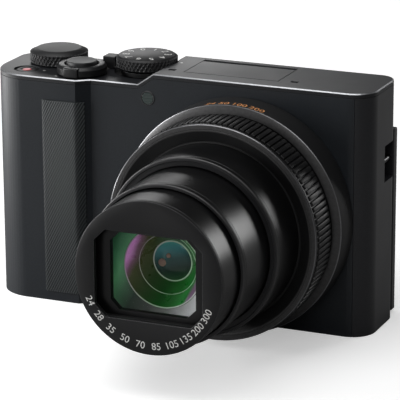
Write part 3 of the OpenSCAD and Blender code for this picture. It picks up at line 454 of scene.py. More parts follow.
for i in range(ribs):
    before = set(work.verts)
    work.from_mesh(shape)
    fresh = [v for v in work.verts if v not in before]
    bmesh.ops.translate(work, verts=fresh,
                        vec=(0, (rib_from + rib_to) / 2 * mm, (rib_r - 0.385) * mm))
    bmesh.ops.rotate(work, verts=fresh, cent=(0, 0, 0),
                     matrix=Matrix.Rotation(2 * pi * i / ribs, 3, "Y"))
    bmesh.ops.translate(work, verts=fresh, vec=(lens_x * mm, 0, lens_z * mm))
bpy.data.meshes.remove(shape)
ring_black = satin_black(
    "ring_black", (0.0075, 0.0075, 0.008), (0.06, 0.06, 0.06), 0.42, 0.0, 1800, 0.03)
piece = seat("control_ring_ribbed", work, ring_black, "control_ring", "ring_black", "control_ring")
piece.data.materials.append(grey_face)
piece.data.materials.append(bright_line)

# ----------------------------------------------------------------- guide tube
# The fixed tube stands inside the ring and guides the barrels. It is blackened all over,
# and only its dark mouth shows.


def refinish(finish, *nodes):
    """Gives carried-over pieces of the frame a better finish."""
    for node in nodes:
        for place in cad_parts[node].material_slots:
            place.material = finish


refinish(recess_shade_black, "guide_tube")

# -------------------------------------------------------------- three barrels
# Each barrel is a thin painted tube that slides in the one behind it. A fine groove
# runs behind each mouth, and the rim of the mouth is rubbed bright.
barrel_black = satin_black(
    "barrel_black", (0.0036, 0.0036, 0.004), (0.05, 0.05, 0.052), 0.33, 0.0, 2600, 0.03)
mouth_grey = satin_black(
    "mouth_grey", (0.018, 0.018, 0.0195), (0.08, 0.08, 0.082), 0.42, 0.0, 2200, 0.03)
for node, body, bore in (("barrel_1", "first_barrel", 21.28),
                         ("barrel_2", "second_barrel", 19.98)):
    near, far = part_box(node)
    r = (far.x - near.x) / 2 / mm
    mouth, tail = near.y / mm, far.y / mm
    inside = [(tail, bore)]
    if node == "barrel_2":
        inside = [(tail - 4, bore), (tail - 4, 8.05), (tail, 8.05)]
    work = turned(inside + [(tail, r - 0.15), (tail - 0.15, r), (mouth + 1.9, r),
                   (mouth + 1.84, r - 0.05), (mouth + 1.72, r - 0.05), (mouth + 1.66, r),
                   (mouth + 0.3, r), (mouth + 0.2, r - 0.04), (mouth + 0.04, r - 0.2),
                   (mouth, r - 0.32), (mouth, r - 0.85), (mouth + 0.25, r - 1.0),
                   (mouth + 0.34, bore + 0.35), (mouth + 0.6, bore)])
    second_finish(work, 2, bore + 0.2, r - 0.02, mouth - 0.1, mouth + 0.42)
    second_finish(work, 1, r - 0.25, r - 0.02, mouth - 0.1, mouth + 0.28)
    piece = seat(node + "_tube", work, barrel_black, body, "barrel_black", node)
    piece.data.materials.append(grey_face)
    piece.data.materials.append(mouth_grey)

# ---------------------------------------------- third barrel and front plate
# The narrowest barrel ends in a thin black plate. The plate has a wide window with its
# corners cut off, and its front edges are broken.


def pierced(r, steps, wide, tall, cut, face, thick, broken):
    """A disc with a window in it; the window's corners are cut off and its edges broken."""
    window = [(-wide, -tall + cut), (-wide, tall - cut), (-wide + cut, tall), (wide - cut, tall),
              (wide, tall - cut), (wide, -tall + cut), (wide - cut, -tall), (-wide + cut, -tall)]
    disc = bmesh.new()
    for loop in (arc(0, 0, r, 0, 360, steps)[:-1], window):
        joined(disc, [disc.verts.new(((lens_x + x) * mm, face * mm, (lens_z + z) * mm))
                      for x, z in loop])
    bmesh.ops.triangle_fill(disc, edges=disc.edges, use_beauty=True)
    bmesh.ops.recalc_face_normals(disc, faces=disc.faces)
    if disc.faces[0].normal.y > 0:
        bmesh.ops.reverse_faces(disc, faces=disc.faces)
    fronts = set(disc.verts)
    grown = bmesh.ops.extrude_face_region(disc, geom=disc.faces[:])
    bmesh.ops.translate(disc, verts=new_points(grown), vec=(0, thick * mm, 0))
    bmesh.ops.recalc_face_normals(disc, faces=disc.faces)
    edges = [e for e in disc.edges if all(v in fronts for v in e.verts)
             and len(e.link_faces) == 2 and e.calc_face_angle(0) > 0.9]
    bmesh.ops.bevel(disc, geom=edges, offset=broken * mm, segments=2, affect="EDGES",
                    profile=0.5, material=-1)
    return disc


near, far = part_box("barrel_3")
r3 = (far.x - near.x) / 2 / mm
plate_near, plate_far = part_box("front_plate")
plate_face, plate_back = plate_near.y / mm, plate_far.y / mm
work = turned([(far.y / mm, r3 - 1.3), (far.y / mm, r3 - 0.1), (far.y / mm - 0.1, r3),
               (near.y / mm + 0.15, r3), (near.y / mm, r3 - 0.12), (near.y / mm, r3 - 1.3)])
seat("barrel_3_tube", work, barrel_black, "third_barrel", "barrel_black", "barrel_3")
work = pierced(r3, 144, 14.5, 11.3, 3.0, plate_face, plate_back - plate_face, 0.3)
# Its edge tone is far paler than its body: a painted highlight line along the plate's rim and
# window edges.
plate_black = satin_black(
    "plate_black", (0.0048, 0.0048, 0.0055), (0.22, 0.22, 0.23), 0.42, 0.0, 2600, 0.02)
seat("front_plate_pierced", work, plate_black, "third_barrel", "plate_black", "front_plate")

# ----------------------------------------------------------- window frame
# Behind the plate a black frame narrows from the window to the glass. It is moulded
# in one piece, with a flat step and short walls, and holds the front lens.
near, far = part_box("window_frame")
work = pierced((far.x - near.x) / 2 / mm, 96, 11.5, 10.1, 2.4, near.y / mm, 1.7, 0.16)
frame_black = satin_black(
    "frame_black", (0.003, 0.003, 0.0034), (0.035, 0.035, 0.037), 0.32, 0.0, 2600, 0.02)
seat("window_frame_stepped", work, frame_black, "third_barrel", "plate_black", "window_frame")

# ------------------------------------------------------------- front lens
# The front element is a polished dome with a clear coating. Light passes through it
# to the coated inner elements and the black rings between them.


def faded(tree, haze, shader, tone, dim):
    """Lets a tone go a little darker with the haze on the surface."""
    tint = tree.nodes.new("ShaderNodeMix")
    tint.data_type = "RGBA"
    tint.inputs["A"].default_value = [dim * c for c in tone] + [1]
    tint.inputs["B"].default_value = list(tone) + [1]
    tree.links.new(haze, tint.inputs["Factor"])
    tree.links.new(tint.outputs["Result"], shader.inputs["Base Color"])


def coated_glass(name, body_tint, film, clear=0.0, bend=1.62):
    """Polished glass whose thin coating colours what it reflects."""
    finish, tree, shader, place = new_finish(name)
    smear = speckle(tree, place, 120)
    drive(tree, smear, shader.inputs["Roughness"], 0, 0.03)
    faded(tree, smear, shader, body_tint, 0.94)
    shader.inputs["IOR"].default_value = bend
    shader.inputs["Transmission Weight"].default_value = clear
    shader.inputs["Thin Film Thickness"].default_value = film
    shader.inputs["Thin Film IOR"].default_value = 1.38
    return finish


glass_near, glass_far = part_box("front_glass")
dome = glass_near.y / mm
glass_r = (glass_far.x - glass_near.x) / 2 / mm
curve = 34.0
front_coat = coated_glass("front_coating", (0.97, 1.0, 0.98), 0, 1.0, 1.1)
profile = []
for i in range(17):
    reach = glass_r * i / 16
    profile.append((dome + curve - sqrt(curve ** 2 - reach ** 2), reach))
work = turned(profile + [(glass_far.y / mm, glass_r), (glass_far.y / mm, 0)], 96, closed=False)
seat("front_element", work, front_coat, "third_barrel", "coated_glass", "front_glass")

# --------------------------------------------------------------- inner elements
# Coated steps lead in from the front element to a smaller one, with a pale rim at each.
# Their colours are painted reflections of the coatings, set to glow a little: bands from green and
# magenta at one side to grey at the other, pale rims, and green to teal on the inner element.


def painted_reflection_bands(name, bands, direction, reach, gloss):
    """Painted reflections of a lens coating, in colour bands across the lens, with a faint glow.
    """
    finish, tree, shader, place = new_finish(name)
    centre = tree.nodes.new("ShaderNodeVectorMath")
    centre.operation = "SUBTRACT"
    centre.inputs[1].default_value = (lens_x * mm, 0, lens_z * mm)
    tree.links.new(place, centre.inputs[0])
    along = tree.nodes.new("ShaderNodeVectorMath")
    along.operation = "DOT_PRODUCT"
    along.inputs[1].default_value = direction
    tree.links.new(centre.outputs["Vector"], along.inputs[0])
    haze = speckle(tree, place, 260)
    drift = tree.nodes.new("ShaderNodeMath")
    drift.operation = "MULTIPLY_ADD"
    drift.inputs[1].default_value = 0.05
    tree.links.new(haze, drift.inputs[0])
    drive(tree, along.outputs["Value"], drift.inputs[2], 0, 1, -reach * mm, reach * mm)
    colours = tree.nodes.new("ShaderNodeValToRGB")
    ramp = colours.color_ramp
    ramp.elements[0].position, ramp.elements[0].color = bands[0][0], list(bands[0][1]) + [1]
    ramp.elements[1].position, ramp.elements[1].color = bands[-1][0], list(bands[-1][1]) + [1]
    for spot, tone in bands[1:-1]:
        ramp.elements.new(spot).color = list(tone) + [1]
    tree.links.new(drift.outputs["Value"], colours.inputs["Fac"])
    tree.links.new(colours.outputs["Color"], shader.inputs["Base Color"])
    drive(tree, haze, shader.inputs["Roughness"], gloss, gloss + 0.06)
    # The painted reflection colour also glows a little, though nothing there is a lamp.
    tree.links.new(colours.outputs["Color"], shader.inputs["Emission Color"])
    shader.inputs["Emission Strength"].default_value = 0.35
    return finish


def facing_front(work):
    """Turns every face of an open shell to the front."""
    for part in work.faces:
        if part.normal.y > 0:
            part.normal_flip()


across = (0.9, 0, -0.42)
outer_painted_reflection = painted_reflection_bands("outer_painted_reflection", [
    (0.0, (0.01, 0.03, 0.015)), (0.12, (0.035, 0.12, 0.06)), (0.2, (0.07, 0.21, 0.1)),
    (0.3, (0.05, 0.11, 0.065)), (0.4, (0.03, 0.045, 0.035)), (0.55, (0.06, 0.065, 0.062)),
    (0.7, (0.13, 0.135, 0.13)), (0.82, (0.3, 0.3, 0.31)), (0.92, (0.5, 0.5, 0.52)),
    (1.0, (0.36, 0.36, 0.38))], across, 15, 0.2)
work = turned([(dome + 4.95, glass_r - 0.35), (dome + 5.2, 13.6), (dome + 5.6, 11.6),
               (dome + 5.95, 10.4)], 96, closed=False)
facing_front(work)
seat("outer_zone", work, outer_painted_reflection, "third_barrel", "coated_glass")
rim_painted_reflection = painted_reflection_bands("rim_painted_reflection", [(0.0, (0.3, 0.2, 0.3)), (0.4, (0.3, 0.34, 0.28)),
                                   (0.7, (0.3, 0.45, 0.3)), (1.0, (0.5, 0.5, 0.5))],
                      across, 10.5, 0.2)
for name, y, r, thin in (("second_rim", dome + 5.9, 10.3, 0.22),
                         ("middle_rim", dome + 9.0, 7.6, 0.08),
                         ("third_rim", dome + 11.8, 5.15, 0.26)):
    work = turned([(y, r), (y - 0.18, r - thin * 0.4), (y - 0.2, r - thin),
                   (y, r - thin * 1.4)], 96)
    seat(name, work, rim_painted_reflection, "third_barrel", "coated_glass")
inner_painted_reflection = painted_reflection_bands("inner_painted_reflection", [
    (0.0, (0.55, 0.24, 0.55)), (0.06, (0.5, 0.2, 0.48)), (0.12, (0.14, 0.07, 0.11)),
    (0.18, (0.045, 0.05, 0.02)), (0.38, (0.016, 0.035, 0.01)), (0.6, (0.004, 0.045, 0.006)),
    (0.78, (0.008, 0.11, 0.014)), (0.9, (0.014, 0.17, 0.03)), (0.95, (0.2, 0.1, 0.2)),
    (1.0, (0.16, 0.12, 0.16))],
    (0.93, 0, -0.36), 10.2, 0.25)
work = turned([(dome + 6.0, 10.16), (dome + 7.4, 9.2), (dome + 9.6, 7.1), (dome + 11.85, 5.2)],
              96, closed=False)
facing_front(work)
seat("second_zone", work, inner_painted_reflection, "third_barrel", "coated_glass")
inner_coat = coated_glass("inner_coating", (0.01, 0.05, 0.045), 300, 0.0)
deep_painted_reflection = painted_reflection_bands("deep_painted_reflection", [
    (0.0, (0.015, 0.06, 0.02)), (0.35, (0.012, 0.025, 0.02)), (0.6, (0.02, 0.05, 0.05)),
    (0.85, (0.045, 0.15, 0.16)), (1.0, (0.05, 0.2, 0.18))], (-0.25, 0, 0.97), 5.2, 0.05)
profile = [(dome + 12.1 - 1.2 * cos(radians(90 * i / 12)), 5.1 * sin(radians(90 * i / 12)))
           for i in range(13)]
work = turned(profile + [(dome + 12.6, 5.1), (dome + 12.6, 0)], 72, closed=False)
seat("inner_element", work, deep_painted_reflection, "third_barrel", "coated_glass")
# Two small pink domes deep in the lens paint the small warm highlights seen there.
pink_highlight_coat = coated_glass("pink_highlight_coating", (0.5, 0.3, 0.24), 0, 0.0)
for name, x, z, r in (("highlight_element", -2.4, -0.4, 1.0), ("highlight_element_small", -0.7, 1.5, 0.6)):
    profile = [(dome + 10.9 - 0.3 * cos(radians(90 * i / 6)), r * sin(radians(90 * i / 6)))
               for i in range(7)]
    work = turned(profile + [(dome + 11.3, r), (dome + 11.3, 0)], 24, False,
                  lens_x + x, lens_z + z)
    seat(name, work, pink_highlight_coat, "third_barrel", "coated_glass")
refinish(inner_coat, "rear_glass")

# ------------------------------------------------ shutter blades of the window
# Two thin satin black blades above and two below slide over the window when the lens
# parks. They meet near the middle and leave its corners open.
blade_black = satin_black(
    "blade_black", (0.006, 0.006, 0.0065), (0.03, 0.03, 0.03), 0.45, 0.0, 1800, 0.05)
refinish(blade_black, "blade_upper_inner", "blade_upper_outer", "blade_lower_inner",
         "blade_lower_outer")

# ------------------------------------------------------------ assist lamp
# A dark ribbed lens is set in a small turned bezel on the front cover. The bezel has the
# same black finish as the lens plate, with its painted edge highlight.
lamp_low, lamp_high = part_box("lamp_bezel")
lamp_x, lamp_z = (lamp_low.x + lamp_high.x) / 2 / mm, (lamp_low.z + lamp_high.z) / 2 / mm
lamp_front, lamp_back = lamp_low.y / mm, lamp_high.y / mm
lamp_r = (lamp_high.x - lamp_low.x) / 2 / mm
work = turned([(lamp_back, lamp_r - 0.35), (lamp_back, lamp_r), (lamp_front + 0.15, lamp_r),
               (lamp_front, lamp_r - 0.12), (lamp_front, lamp_r - 0.28),
               (lamp_front + 0.2, lamp_r - 0.36)], 48, x=lamp_x, z=lamp_z)
seat("lamp_bezel_turned", work, plate_black, "camera_body", "dark_trim", "lamp_bezel")
work = bmesh.new()
bmesh.ops.create_grid(work, x_segments=24, y_segments=24, size=1.66 * mm)
bmesh.ops.rotate(work, verts=work.verts, cent=(0, 0, 0), matrix=Matrix.Rotation(pi / 2, 3, "X"))
for v in work.verts:
    reach = max(abs(v.co.x), abs(v.co.z))
    length = sqrt(v.co.x ** 2 + v.co.z ** 2) or 1
    v.co = v.co * (reach / length)
    rib = abs(sin(v.co.z / mm * 4.2)) * (reach < 1.6 * mm)
    v.co.y = (lamp_front + 0.16) * mm - 0.14 * mm * rib
bmesh.ops.translate(work, verts=work.verts, vec=(lamp_x * mm, 0, lamp_z * mm))
facing_front(work)
lamp_clear = coated_glass("lamp_clear", (0.05, 0.065, 0.062), 0, 0.0)
seat("lamp_lens_ribbed", work, lamp_clear, "camera_body", "lamp_clear", "lamp_lens")

# ------------------------------------------------------------------ mode dial
# The mode dial is turned in aluminium, knurled all round and bevelled. Plain numbers are
# printed on its top in white.


def stood(profile, x, y, steps=72, closed=False):
    """Turns a profile of (radius, z) points round an upright axis."""
    work = bmesh.new()
    points = [work.verts.new(((x + r) * mm, y * mm, z * mm)) for r, z in profile]
    line = [work.edges.new(pair) for pair in zip(points, points[1:])]
    if closed:
        line.append(work.edges.new((points[-1], points[0])))
    bmesh.ops.spin(work, geom=points + line, cent=(x * mm, y * mm, 0),
                   axis=(0, 0, 1), dvec=(0, 0, 0), angle=2 * pi, steps=steps, use_merge=True)
    bmesh.ops.remove_doubles(work, verts=work.verts, dist=0.0005 * mm)
    bmesh.ops.recalc_face_normals(work, faces=work.faces)
    return work


def knurl(work, x, y, r, foot, crown, count, lean):
    """Cuts a dial's side into diamonds with two crossing rows of slanting ridges."""
    bar = bmesh.new()
    bmesh.ops.create_cube(bar, size=1)
    tall = (crown - foot) / cos(radians(lean))
    bmesh.ops.scale(bar, verts=bar.verts, vec=(0.46 * mm, 0.5 * mm, tall * mm))
    outer = [e for e in bar.edges if all(v.co.y < 0 for v in e.verts) and e.calc_length() > mm]
    bmesh.ops.bevel(bar, geom=outer, offset=0.17 * mm, segments=1, affect="EDGES",
                    profile=0.5, material=-1)
    shape = bpy.data.meshes.new("one_ridge")
    for way in (1, -1):
        slanted = bar.copy()
        bmesh.ops.rotate(slanted, verts=slanted.verts, cent=(0, 0, 0),
                         matrix=Matrix.Rotation(radians(lean * way), 3, "Y"))
        slanted.to_mesh(shape)
        slanted.free()
        for i in range(count):
            before = set(work.verts)
            work.from_mesh(shape)
            fresh = [v for v in work.verts if v not in before]
            bmesh.ops.translate(work, verts=fresh,
                                vec=(0, (0.25 - r) * mm, (foot + crown) / 2 * mm))
            bmesh.ops.rotate(work, verts=fresh, cent=(0, 0, 0),
                             matrix=Matrix.Rotation(2 * pi * i / count, 3, "Z"))
            bmesh.ops.translate(work, verts=fresh, vec=(x * mm, y * mm, 0))
    bar.free()
    bpy.data.meshes.remove(shape)


def printed(name, words, size, x, y, z, turn, finish, body, slot, tilt=None):
    """Prints a figure or mark as a thin raised film of paint."""
    curve = bpy.data.curves.new(name, "FONT")
    curve.body = words
    curve.size = size * mm
    curve.align_x = "CENTER"
    curve.align_y = "CENTER"
    text = bpy.data.objects.new(name, curve)
    bpy.context.scene.collection.objects.link(text)
    shape = bpy.data.meshes.new_from_object(
        text.evaluated_get(bpy.context.evaluated_depsgraph_get()))
    bpy.data.objects.remove(text)
    bpy.data.curves.remove(curve)
    work = bmesh.new()
    work.from_mesh(shape)
    bpy.data.meshes.remove(shape)
    bmesh.ops.remove_doubles(work, verts=work.verts, dist=0.002 * mm)
    bmesh.ops.rotate(work, verts=work.verts, cent=(0, 0, 0), matrix=Matrix.Rotation(turn, 3, "Z"))
    if tilt:
        bmesh.ops.rotate(work, verts=work.verts, cent=(0, 0, 0), matrix=tilt)
    bmesh.ops.translate(work, verts=work.verts, vec=(x * mm, y * mm, z * mm))
    return seat(name, work, finish, body, slot)


def paint(name, tone, rough):
    """Printed ink: slightly uneven, with worn thin spots."""
    finish, tree, shader, place = new_finish(name)
    worn = speckle(tree, place, 1600)
    ink = two_tones(tree, worn, [0.6 * c for c in tone], tone, 0.3, 0.5)
    tree.links.new(ink, shader.inputs["Base Color"])
    shader.inputs["Roughness"].default_value = rough
    relief(tree, worn, shader.inputs["Normal"], 0.1, 0.02)
    return finish


mode_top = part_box("mode_dial")[1].z / mm
dial_black = satin_black(
    "dial_black", (0.0065, 0.0067, 0.0075), (0.1, 0.1, 0.105), 0.5, 0.0, 2200, 0.04)
white_ink = paint("white_ink", (0.78, 0.78, 0.76), 0.45)
work = stood([(0, mode_top - 3.2), (mode_r - 0.4, mode_top - 3.2), (mode_r - 0.3, mode_top - 3.1),
              (mode_r - 0.3, mode_top - 0.5), (mode_r - 0.6, mode_top - 0.12),
              (mode_r - 0.8, mode_top), (0, mode_top)], mode_x, mode_y, 72)
knurl(work, mode_x, mode_y, mode_r - 0.02, mode_top - 3.0, mode_top - 0.55, 46, 32)
seat("mode_dial_knurled", work, dial_black, "mode_dial", "control_black", "mode_dial")
film = 0.012
figure_ring = 5.6
marks = "1234567890"
for i, mark in enumerate(marks):
    bearing = 2 * pi * i / len(marks)
    printed("mode_figure_" + mark, mark, 2.9, mode_x + figure_ring * sin(bearing),
            mode_y + figure_ring * cos(bearing), mode_top + film, -bearing, white_ink,
            "mode_dial", "control_black")

# ---------------------------------------------------------------- power lever
# A thin moulded ring sits under the mode dial. The tab on it turns the camera on.
# Its edges are lightly broken.
broken_edges("power_lever", dial_black, "power_lever", "control_black", 0.2)

# ------------------------------------------------------------- printed scales
# Plain zoom numbers are printed in white along the lower rim of the front plate and in
# copper on top of the base ring. Small white index marks stand on the decks.
facing = Matrix.Rotation(pi / 2, 3, "X")
figures = ["24", "28", "35", "50", "70", "85", "105", "135", "200", "300"]
first_bearing, sweep, figure_ring = 206, 128, 17.55
for i, figure in enumerate(figures):
    bearing = radians(first_bearing + sweep * i / (len(figures) - 1))
    printed("plate_figure_" + figure, figure, 2.6, lens_x + figure_ring * cos(bearing),
            plate_face - film, lens_z + figure_ring * sin(bearing), bearing + pi / 2, white_ink,
            "third_barrel", "plate_black", facing)
copper_ink = paint("copper_ink", (0.95, 0.42, 0.16), 0.4)
for figure, lean in (("24", -11), ("50", -4), ("100", 4), ("200", 13)):
    lean = radians(lean)
    printed("ring_figure_" + figure, figure, 2.9, lens_x + (ring_r + film) * sin(lean),
            ring_end + 1.9, lens_z + (ring_r + film) * cos(lean), 0, copper_ink,
            "camera_body", "front_shell", Matrix.Rotation(lean, 3, "Y"))
dot, dash = "\u2022", "-"
for name, sign, x, y, z in (("mode_index", dot, mode_x + 10.2, mode_y, high),
                            ("zoom_mark_wide", dash, -35.2, -11.0, low),
                            ("zoom_mark_long", dash, -24.6, -10.6, low),
                            ("record_mark", dash, rec_x + 5.4, rec_y, low)):
    printed(name, sign, 3.0, x, y, z + film, 0, white_ink, "camera_body", "deck_shell")

# ------------------------------------------------------------------ rear dial
# A second turned dial stands at the thumb. It is knurled low down, with a wide bevelled
# crown, and is anodised like the mode dial.
dial_low, dial_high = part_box("rear_dial")
dial_r = (dial_high.x - dial_low.x) / 2 / mm
dial_top = dial_high.z / mm
foot = low + 0.32
work = stood([(0, foot), (dial_r - 0.4, foot), (dial_r - 0.3, foot + 0.1),
              (dial_r - 0.3, dial_top - 1.0), (dial_r - 0.55, dial_top - 0.75),
              (dial_r - 1.9, dial_top - 0.04), (dial_r - 2.2, dial_top), (0, dial_top)],
             rear_x, rear_y, 72)
knurl(work, rear_x, rear_y, dial_r - 0.02, foot + 0.1, dial_top - 1.0, 44, 32)
seat("rear_dial_knurled", work, dial_black, "rear_dial", "control_black", "rear_dial")

# ------------------------------------------------- zoom lever, shutter button
# The zoom lever is a moulded ring with a thumb nib in front; the shutter button in
# its middle is a dished cap.
lever_low, lever_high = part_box("zoom_lever")
lever_r = (lever_high.x - lever_low.x) / 2 / mm
foot, crown = lever_low.z / mm, lever_high.z / mm
work = stood([(4.6, foot), (lever_r - 0.3, foot), (lever_r, foot + 0.25), (lever_r, crown - 0.75),
              (lever_r - 0.5, crown - 0.12), (lever_r - 0.7, crown), (4.85, crown),
              (4.6, crown - 0.2)], shut_x, shut_y, 80, True)
nib = bmesh.ops.create_cube(work, size=1)["verts"]
bmesh.ops.scale(work, verts=nib, vec=(4.2 * mm, 2.3 * mm, (crown - foot) * mm))
bmesh.ops.translate(work, verts=nib, vec=(shut_x * mm, (lever_low.y / mm + 1.17) * mm,
                                          (crown + foot) / 2 * mm))
around = list({e for v in nib for e in v.link_edges if max(u.co.y for u in e.verts)
               < (lever_low.y / mm + 0.1) * mm or e.calc_length() > 4.0 * mm})
bmesh.ops.bevel(work, geom=around, offset=0.35 * mm, segments=3, affect="EDGES",
                profile=0.5, material=-1)
lever_black = satin_black(
    "lever_black", (0.0075, 0.0077, 0.0085), (0.1, 0.1, 0.105), 0.4, 0.0, 2200, 0.04)
seat("zoom_lever_turned", work, lever_black, "zoom_lever", "control_black", "zoom_lever")
cap_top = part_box("shutter_button")[1].z / mm
cap_r = 4.2
work = stood([(0, cap_top - 4.0), (cap_r, cap_top - 4.0), (cap_r, cap_top - 0.3),
              (cap_r - 0.1, cap_top - 0.09), (cap_r - 0.3, cap_top), (cap_r - 0.7, cap_top - 0.04),
              (cap_r - 1.9, cap_top - 0.16), (0, cap_top - 0.22)], shut_x, shut_y, 64)
cap_black = satin_black(
    "cap_black", (0.007, 0.0072, 0.008), (0.1, 0.1, 0.105), 0.48, 0.0, 2000, 0.03)
seat("shutter_cap", work, cap_black, "shutter_button", "button_black", "shutter_button")

# -------------------------------------------------------------- record button
# The button for moving pictures is a small black cap set down in a round well. A red
# dot stands in the dish at its middle.
cap_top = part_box("record_button")[1].z / mm
record_red = satin_black(
    "record_red", (0.55, 0.015, 0.03), (0.6, 0.12, 0.1), 0.3, 0.0, 1500, 0.04)
cap_r = 2.9
work = stood([(0, cap_top - 2.0), (cap_r, cap_top - 2.0), (cap_r, cap_top - 0.2),
              (cap_r - 0.2, cap_top), (1.9, cap_top - 0.02), (1.8, cap_top - 0.16),
              (0, cap_top - 0.16)], rec_x, rec_y, 48)
seat("record_cap", work, cap_black, "record_button", "record_red", "record_button")
work = stood([(0, cap_top - 0.15), (1.2, cap_top - 0.15), (1.2, cap_top - 0.06),
              (1.05, cap_top - 0.005), (0.6, cap_top - 0.03), (0, cap_top - 0.05)],
             rec_x, rec_y, 40)
seat("record_dot", work, record_red, "record_button", "record_red")

# ---------------------------------------------------------------- flash head
# The lid of the flash head is finished like the deck around it, and the head lifts on a
# hinge. Only the lid's seam shows when it is shut.
broken_edges("flash_head", deck_black, "flash", "deck_shell", 0.15)
refinish(recess_shade_black, "flash_well")


def clear_plastic(name, tone, rough, clear, ridge=0.0):
    """Clear moulded plastic, with fine moulded flutes where light must spread."""
    finish, tree, shader, place = new_finish(name)
    flutes = tree.nodes.new("ShaderNodeTexWave")
    flutes.inputs["Scale"].default_value = 400
    tree.links.new(place, flutes.inputs["Vector"])
    haze = speckle(tree, place, 300)
    faded(tree, haze, shader, tone, 0.85)
    drive(tree, haze, shader.inputs["Roughness"], rough, rough + 0.08)
    shader.inputs["Transmission Weight"].default_value = clear
    relief(tree, flutes.outputs["Fac"], shader.inputs["Normal"], ridge, 0.2)
    return finish


refinish(clear_plastic("flash_clear", (0.85, 0.86, 0.84), 0.12, 0.7, 0.6), "flash_lens")

# --------------------------------------------------------- screen and eyepiece
# The screen is a glass panel bonded into a shallow black frame. The eyepiece frame
# above it is moulded, with a coated lens and a focus wheel at its side.
broken_edges("screen_frame", side_black_painted_light, "camera_body", "dark_trim", 0.3)
broken_edges("eyepiece_frame", side_black_painted_light, "camera_body", "dark_trim", 0.25)
screen_black = clear_plastic("screen_black", (0.006, 0.007, 0.009), 0.06, 0.0)
refinish(screen_black, "screen_glass")
refinish(inner_coat, "eyepiece_lens")
refinish(dial_black, "focus_wheel")

# ------------------------------------------------- thumb rest and back buttons
# The thumb rest is the same rubber as the grip. The buttons are turned satin black caps,
# and the cursor dial turns round the set button.
refinish(grip_rubber, "thumb_rest")
button_black = satin_black(
    "button_black", (0.012, 0.0125, 0.0135), (0.08, 0.08, 0.082), 0.32, 0.0, 2000, 0.05)
for node in ("view_button", "lock_button", "play_button", "menu_button", "return_button"):
    near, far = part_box(node)
    x, z = (near.x + far.x) / 2 / mm, (near.z + far.z) / 2 / mm
    r, out = 2.6, far.y / mm
    work = turned([(out - 2.0, 0), (out - 2.0, r - 0.1), (out - 0.35, r - 0.1),
                   (out - 0.1, r - 0.22), (out, r - 0.5), (out - 0.08, r - 1.4),
                   (out - 0.12, 0)], 48, False, x, z)
    seat(node + "_cap", work, button_black, node, "button_black", node)
refinish(button_black, "set_button", "flash_slider", "door_latch")
refinish(dial_black, "cursor_dial")

# ------------------------------------------------------ metal and inner pieces
# The chassis is cast and milled alloy; the tripod bush, pins and port block are bright
# steel. Screws and strap bars are blackened. The board, battery and card sit inside.
cast_alloy = satin_black("cast_alloy", (0.3, 0.305, 0.31), (0.5, 0.5, 0.5), 0.42, 0.85, 700, 0.1)
bright_steel = satin_black(
    "bright_steel", (0.42, 0.42, 0.41), (0.6, 0.6, 0.6), 0.28, 0.95, 1200, 0.05)
refinish(cast_alloy, "chassis")
refinish(bright_steel, "tripod_bush", "hinge_pins", "port_block")
refinish(satin_black("screw_black", (0.02, 0.02, 0.021), (0.15, 0.15, 0.15), 0.33, 0.6),
         "base_screws", "strap_bars")
refinish(satin_black("board_green", (0.01, 0.09, 0.035), (0.05, 0.2, 0.1), 0.4, 0.0, 600, 0.1),
         "main_board")
refinish(coated_glass("sensor_glass", (0.03, 0.03, 0.06), 500), "sensor")
refinish(satin_black("case_grey", (0.06, 0.06, 0.065), (0.12, 0.12, 0.12), 0.5, 0.0, 900, 0.1),
         "battery_case")
refinish(satin_black("battery_dark", (0.02, 0.022, 0.026), (0.06, 0.06, 0.07), 0.45, 0.0,
                     900, 0.1), "battery")
refinish(satin_black("card_blue", (0.01, 0.03, 0.12), (0.05, 0.08, 0.2), 0.42, 0.0, 900, 0.08),
         "memory_card")

# -------------------------------------------------------------- floor and light
# A pale matt floor and a white backing. The strongest side light is a soft box at the
# left; small ones behind pick out the edges, and a broad one above fills the decks.
ground = bmesh.new()
bmesh.ops.create_grid(ground, x_segments=2, y_segments=2, size=3)
bmesh.ops.translate(ground, verts=ground.verts, vec=(0, 0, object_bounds()[0].z - 0.00002))
sheet = bpy.data.meshes.new("floor")
ground.to_mesh(sheet)
ground.free()
floor = bpy.data.objects.new("floor", sheet)
bpy.context.scene.collection.objects.link(floor)
pale, tree, shader, place = new_finish("pale_floor")
mottle = speckle(tree, place, 6)
shade = two_tones(tree, mottle, (0.9, 0.9, 0.9), (0.93, 0.93, 0.93))
seen = tree.nodes.new("ShaderNodeLightPath")
dimmed = tree.nodes.new("ShaderNodeMix")
dimmed.data_type = "RGBA"
dimmed.inputs["A"].default_value = (0.3, 0.3, 0.3, 1)
tree.links.new(seen.outputs["Is Camera Ray"], dimmed.inputs["Factor"])
tree.links.new(shade, dimmed.inputs["B"])
tree.links.new(dimmed.outputs["Result"], shader.inputs["Base Color"])
tree.links.new(seen.outputs["Is Camera Ray"], shader.inputs["Emission Strength"])
shader.inputs["Emission Color"].default_value = (0.42, 0.42, 0.42, 1)
shader.inputs["Roughness"].default_value = 0.9
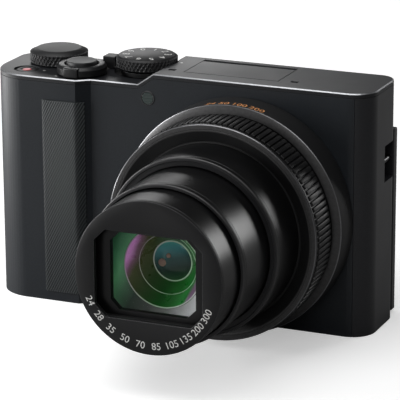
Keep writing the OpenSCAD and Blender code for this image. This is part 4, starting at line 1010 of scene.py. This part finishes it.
shader.inputs["Specular IOR Level"].default_value = 0.1
sheet.materials.append(pale)

sky = bpy.data.worlds.new("studio")
bpy.context.scene.world = sky
sky.use_nodes = True
backing = sky.node_tree.nodes["Background"]
backing.inputs["Color"].default_value = (1, 1, 1, 1)
seen = sky.node_tree.nodes.new("ShaderNodeLightPath")
drive(sky.node_tree, seen.outputs["Is Camera Ray"], backing.inputs["Strength"], 0.04, 1)


def soft_light(name, place, aim, wide, tall, power):
    """A soft box that points at a place on the camera."""
    lamp = bpy.data.lights.new(name, "AREA")
    lamp.shape = "RECTANGLE"
    lamp.size = wide
    lamp.size_y = tall
    lamp.energy = power
    box = bpy.data.objects.new(name, lamp)
    bpy.context.scene.collection.objects.link(box)
    box.location = place
    box.rotation_euler = (Vector(aim) - Vector(place)).to_track_quat("-Z", "Y").to_euler()


soft_light("left_front", (-0.55, -0.28, 0.16), (-0.03, -0.01, 0.03), 0.3, 0.35, 3.4)
soft_light("left_low", (-0.3, 0.0, 0.022), (-0.05, 0, 0.03), 0.14, 0.04, 0.22)
soft_light("back_left", (-0.45, 0.75, 0.3), (0, -0.03, 0.03), 0.35, 0.3, 0.9)
soft_light("back_right", (0.42, 0.75, 0.2), (0.02, -0.03, 0.03), 0.2, 0.3, 1.2)
soft_light("front_fill", (0.18, -0.6, 0.4), (-0.02, -0.01, 0.03), 0.3, 0.3, 0.7)
soft_light("top", (-0.15, -0.2, 1.0), (0, 0, 0.03), 0.9, 0.9, 6)

# ----------------------------------------------------------------- viewpoint
# A long lens looks down at the camera from its front, a little to the side of the lens
# barrel, so the front, the decks and one end are all in view.
lens = bpy.data.cameras.new("viewpoint")
lens.lens = 236.03
lens.sensor_width = 36
lens.clip_start = 0.01
eye = bpy.data.objects.new("viewpoint", lens)
bpy.context.scene.collection.objects.link(eye)
eye.location = (0.27322, -0.62815, 0.23714)
eye.rotation_euler = (radians(73.1151), radians(0.303), radians(23.2448))
bpy.context.scene.camera = eye
bpy.context.scene.view_settings.view_transform = "Standard"
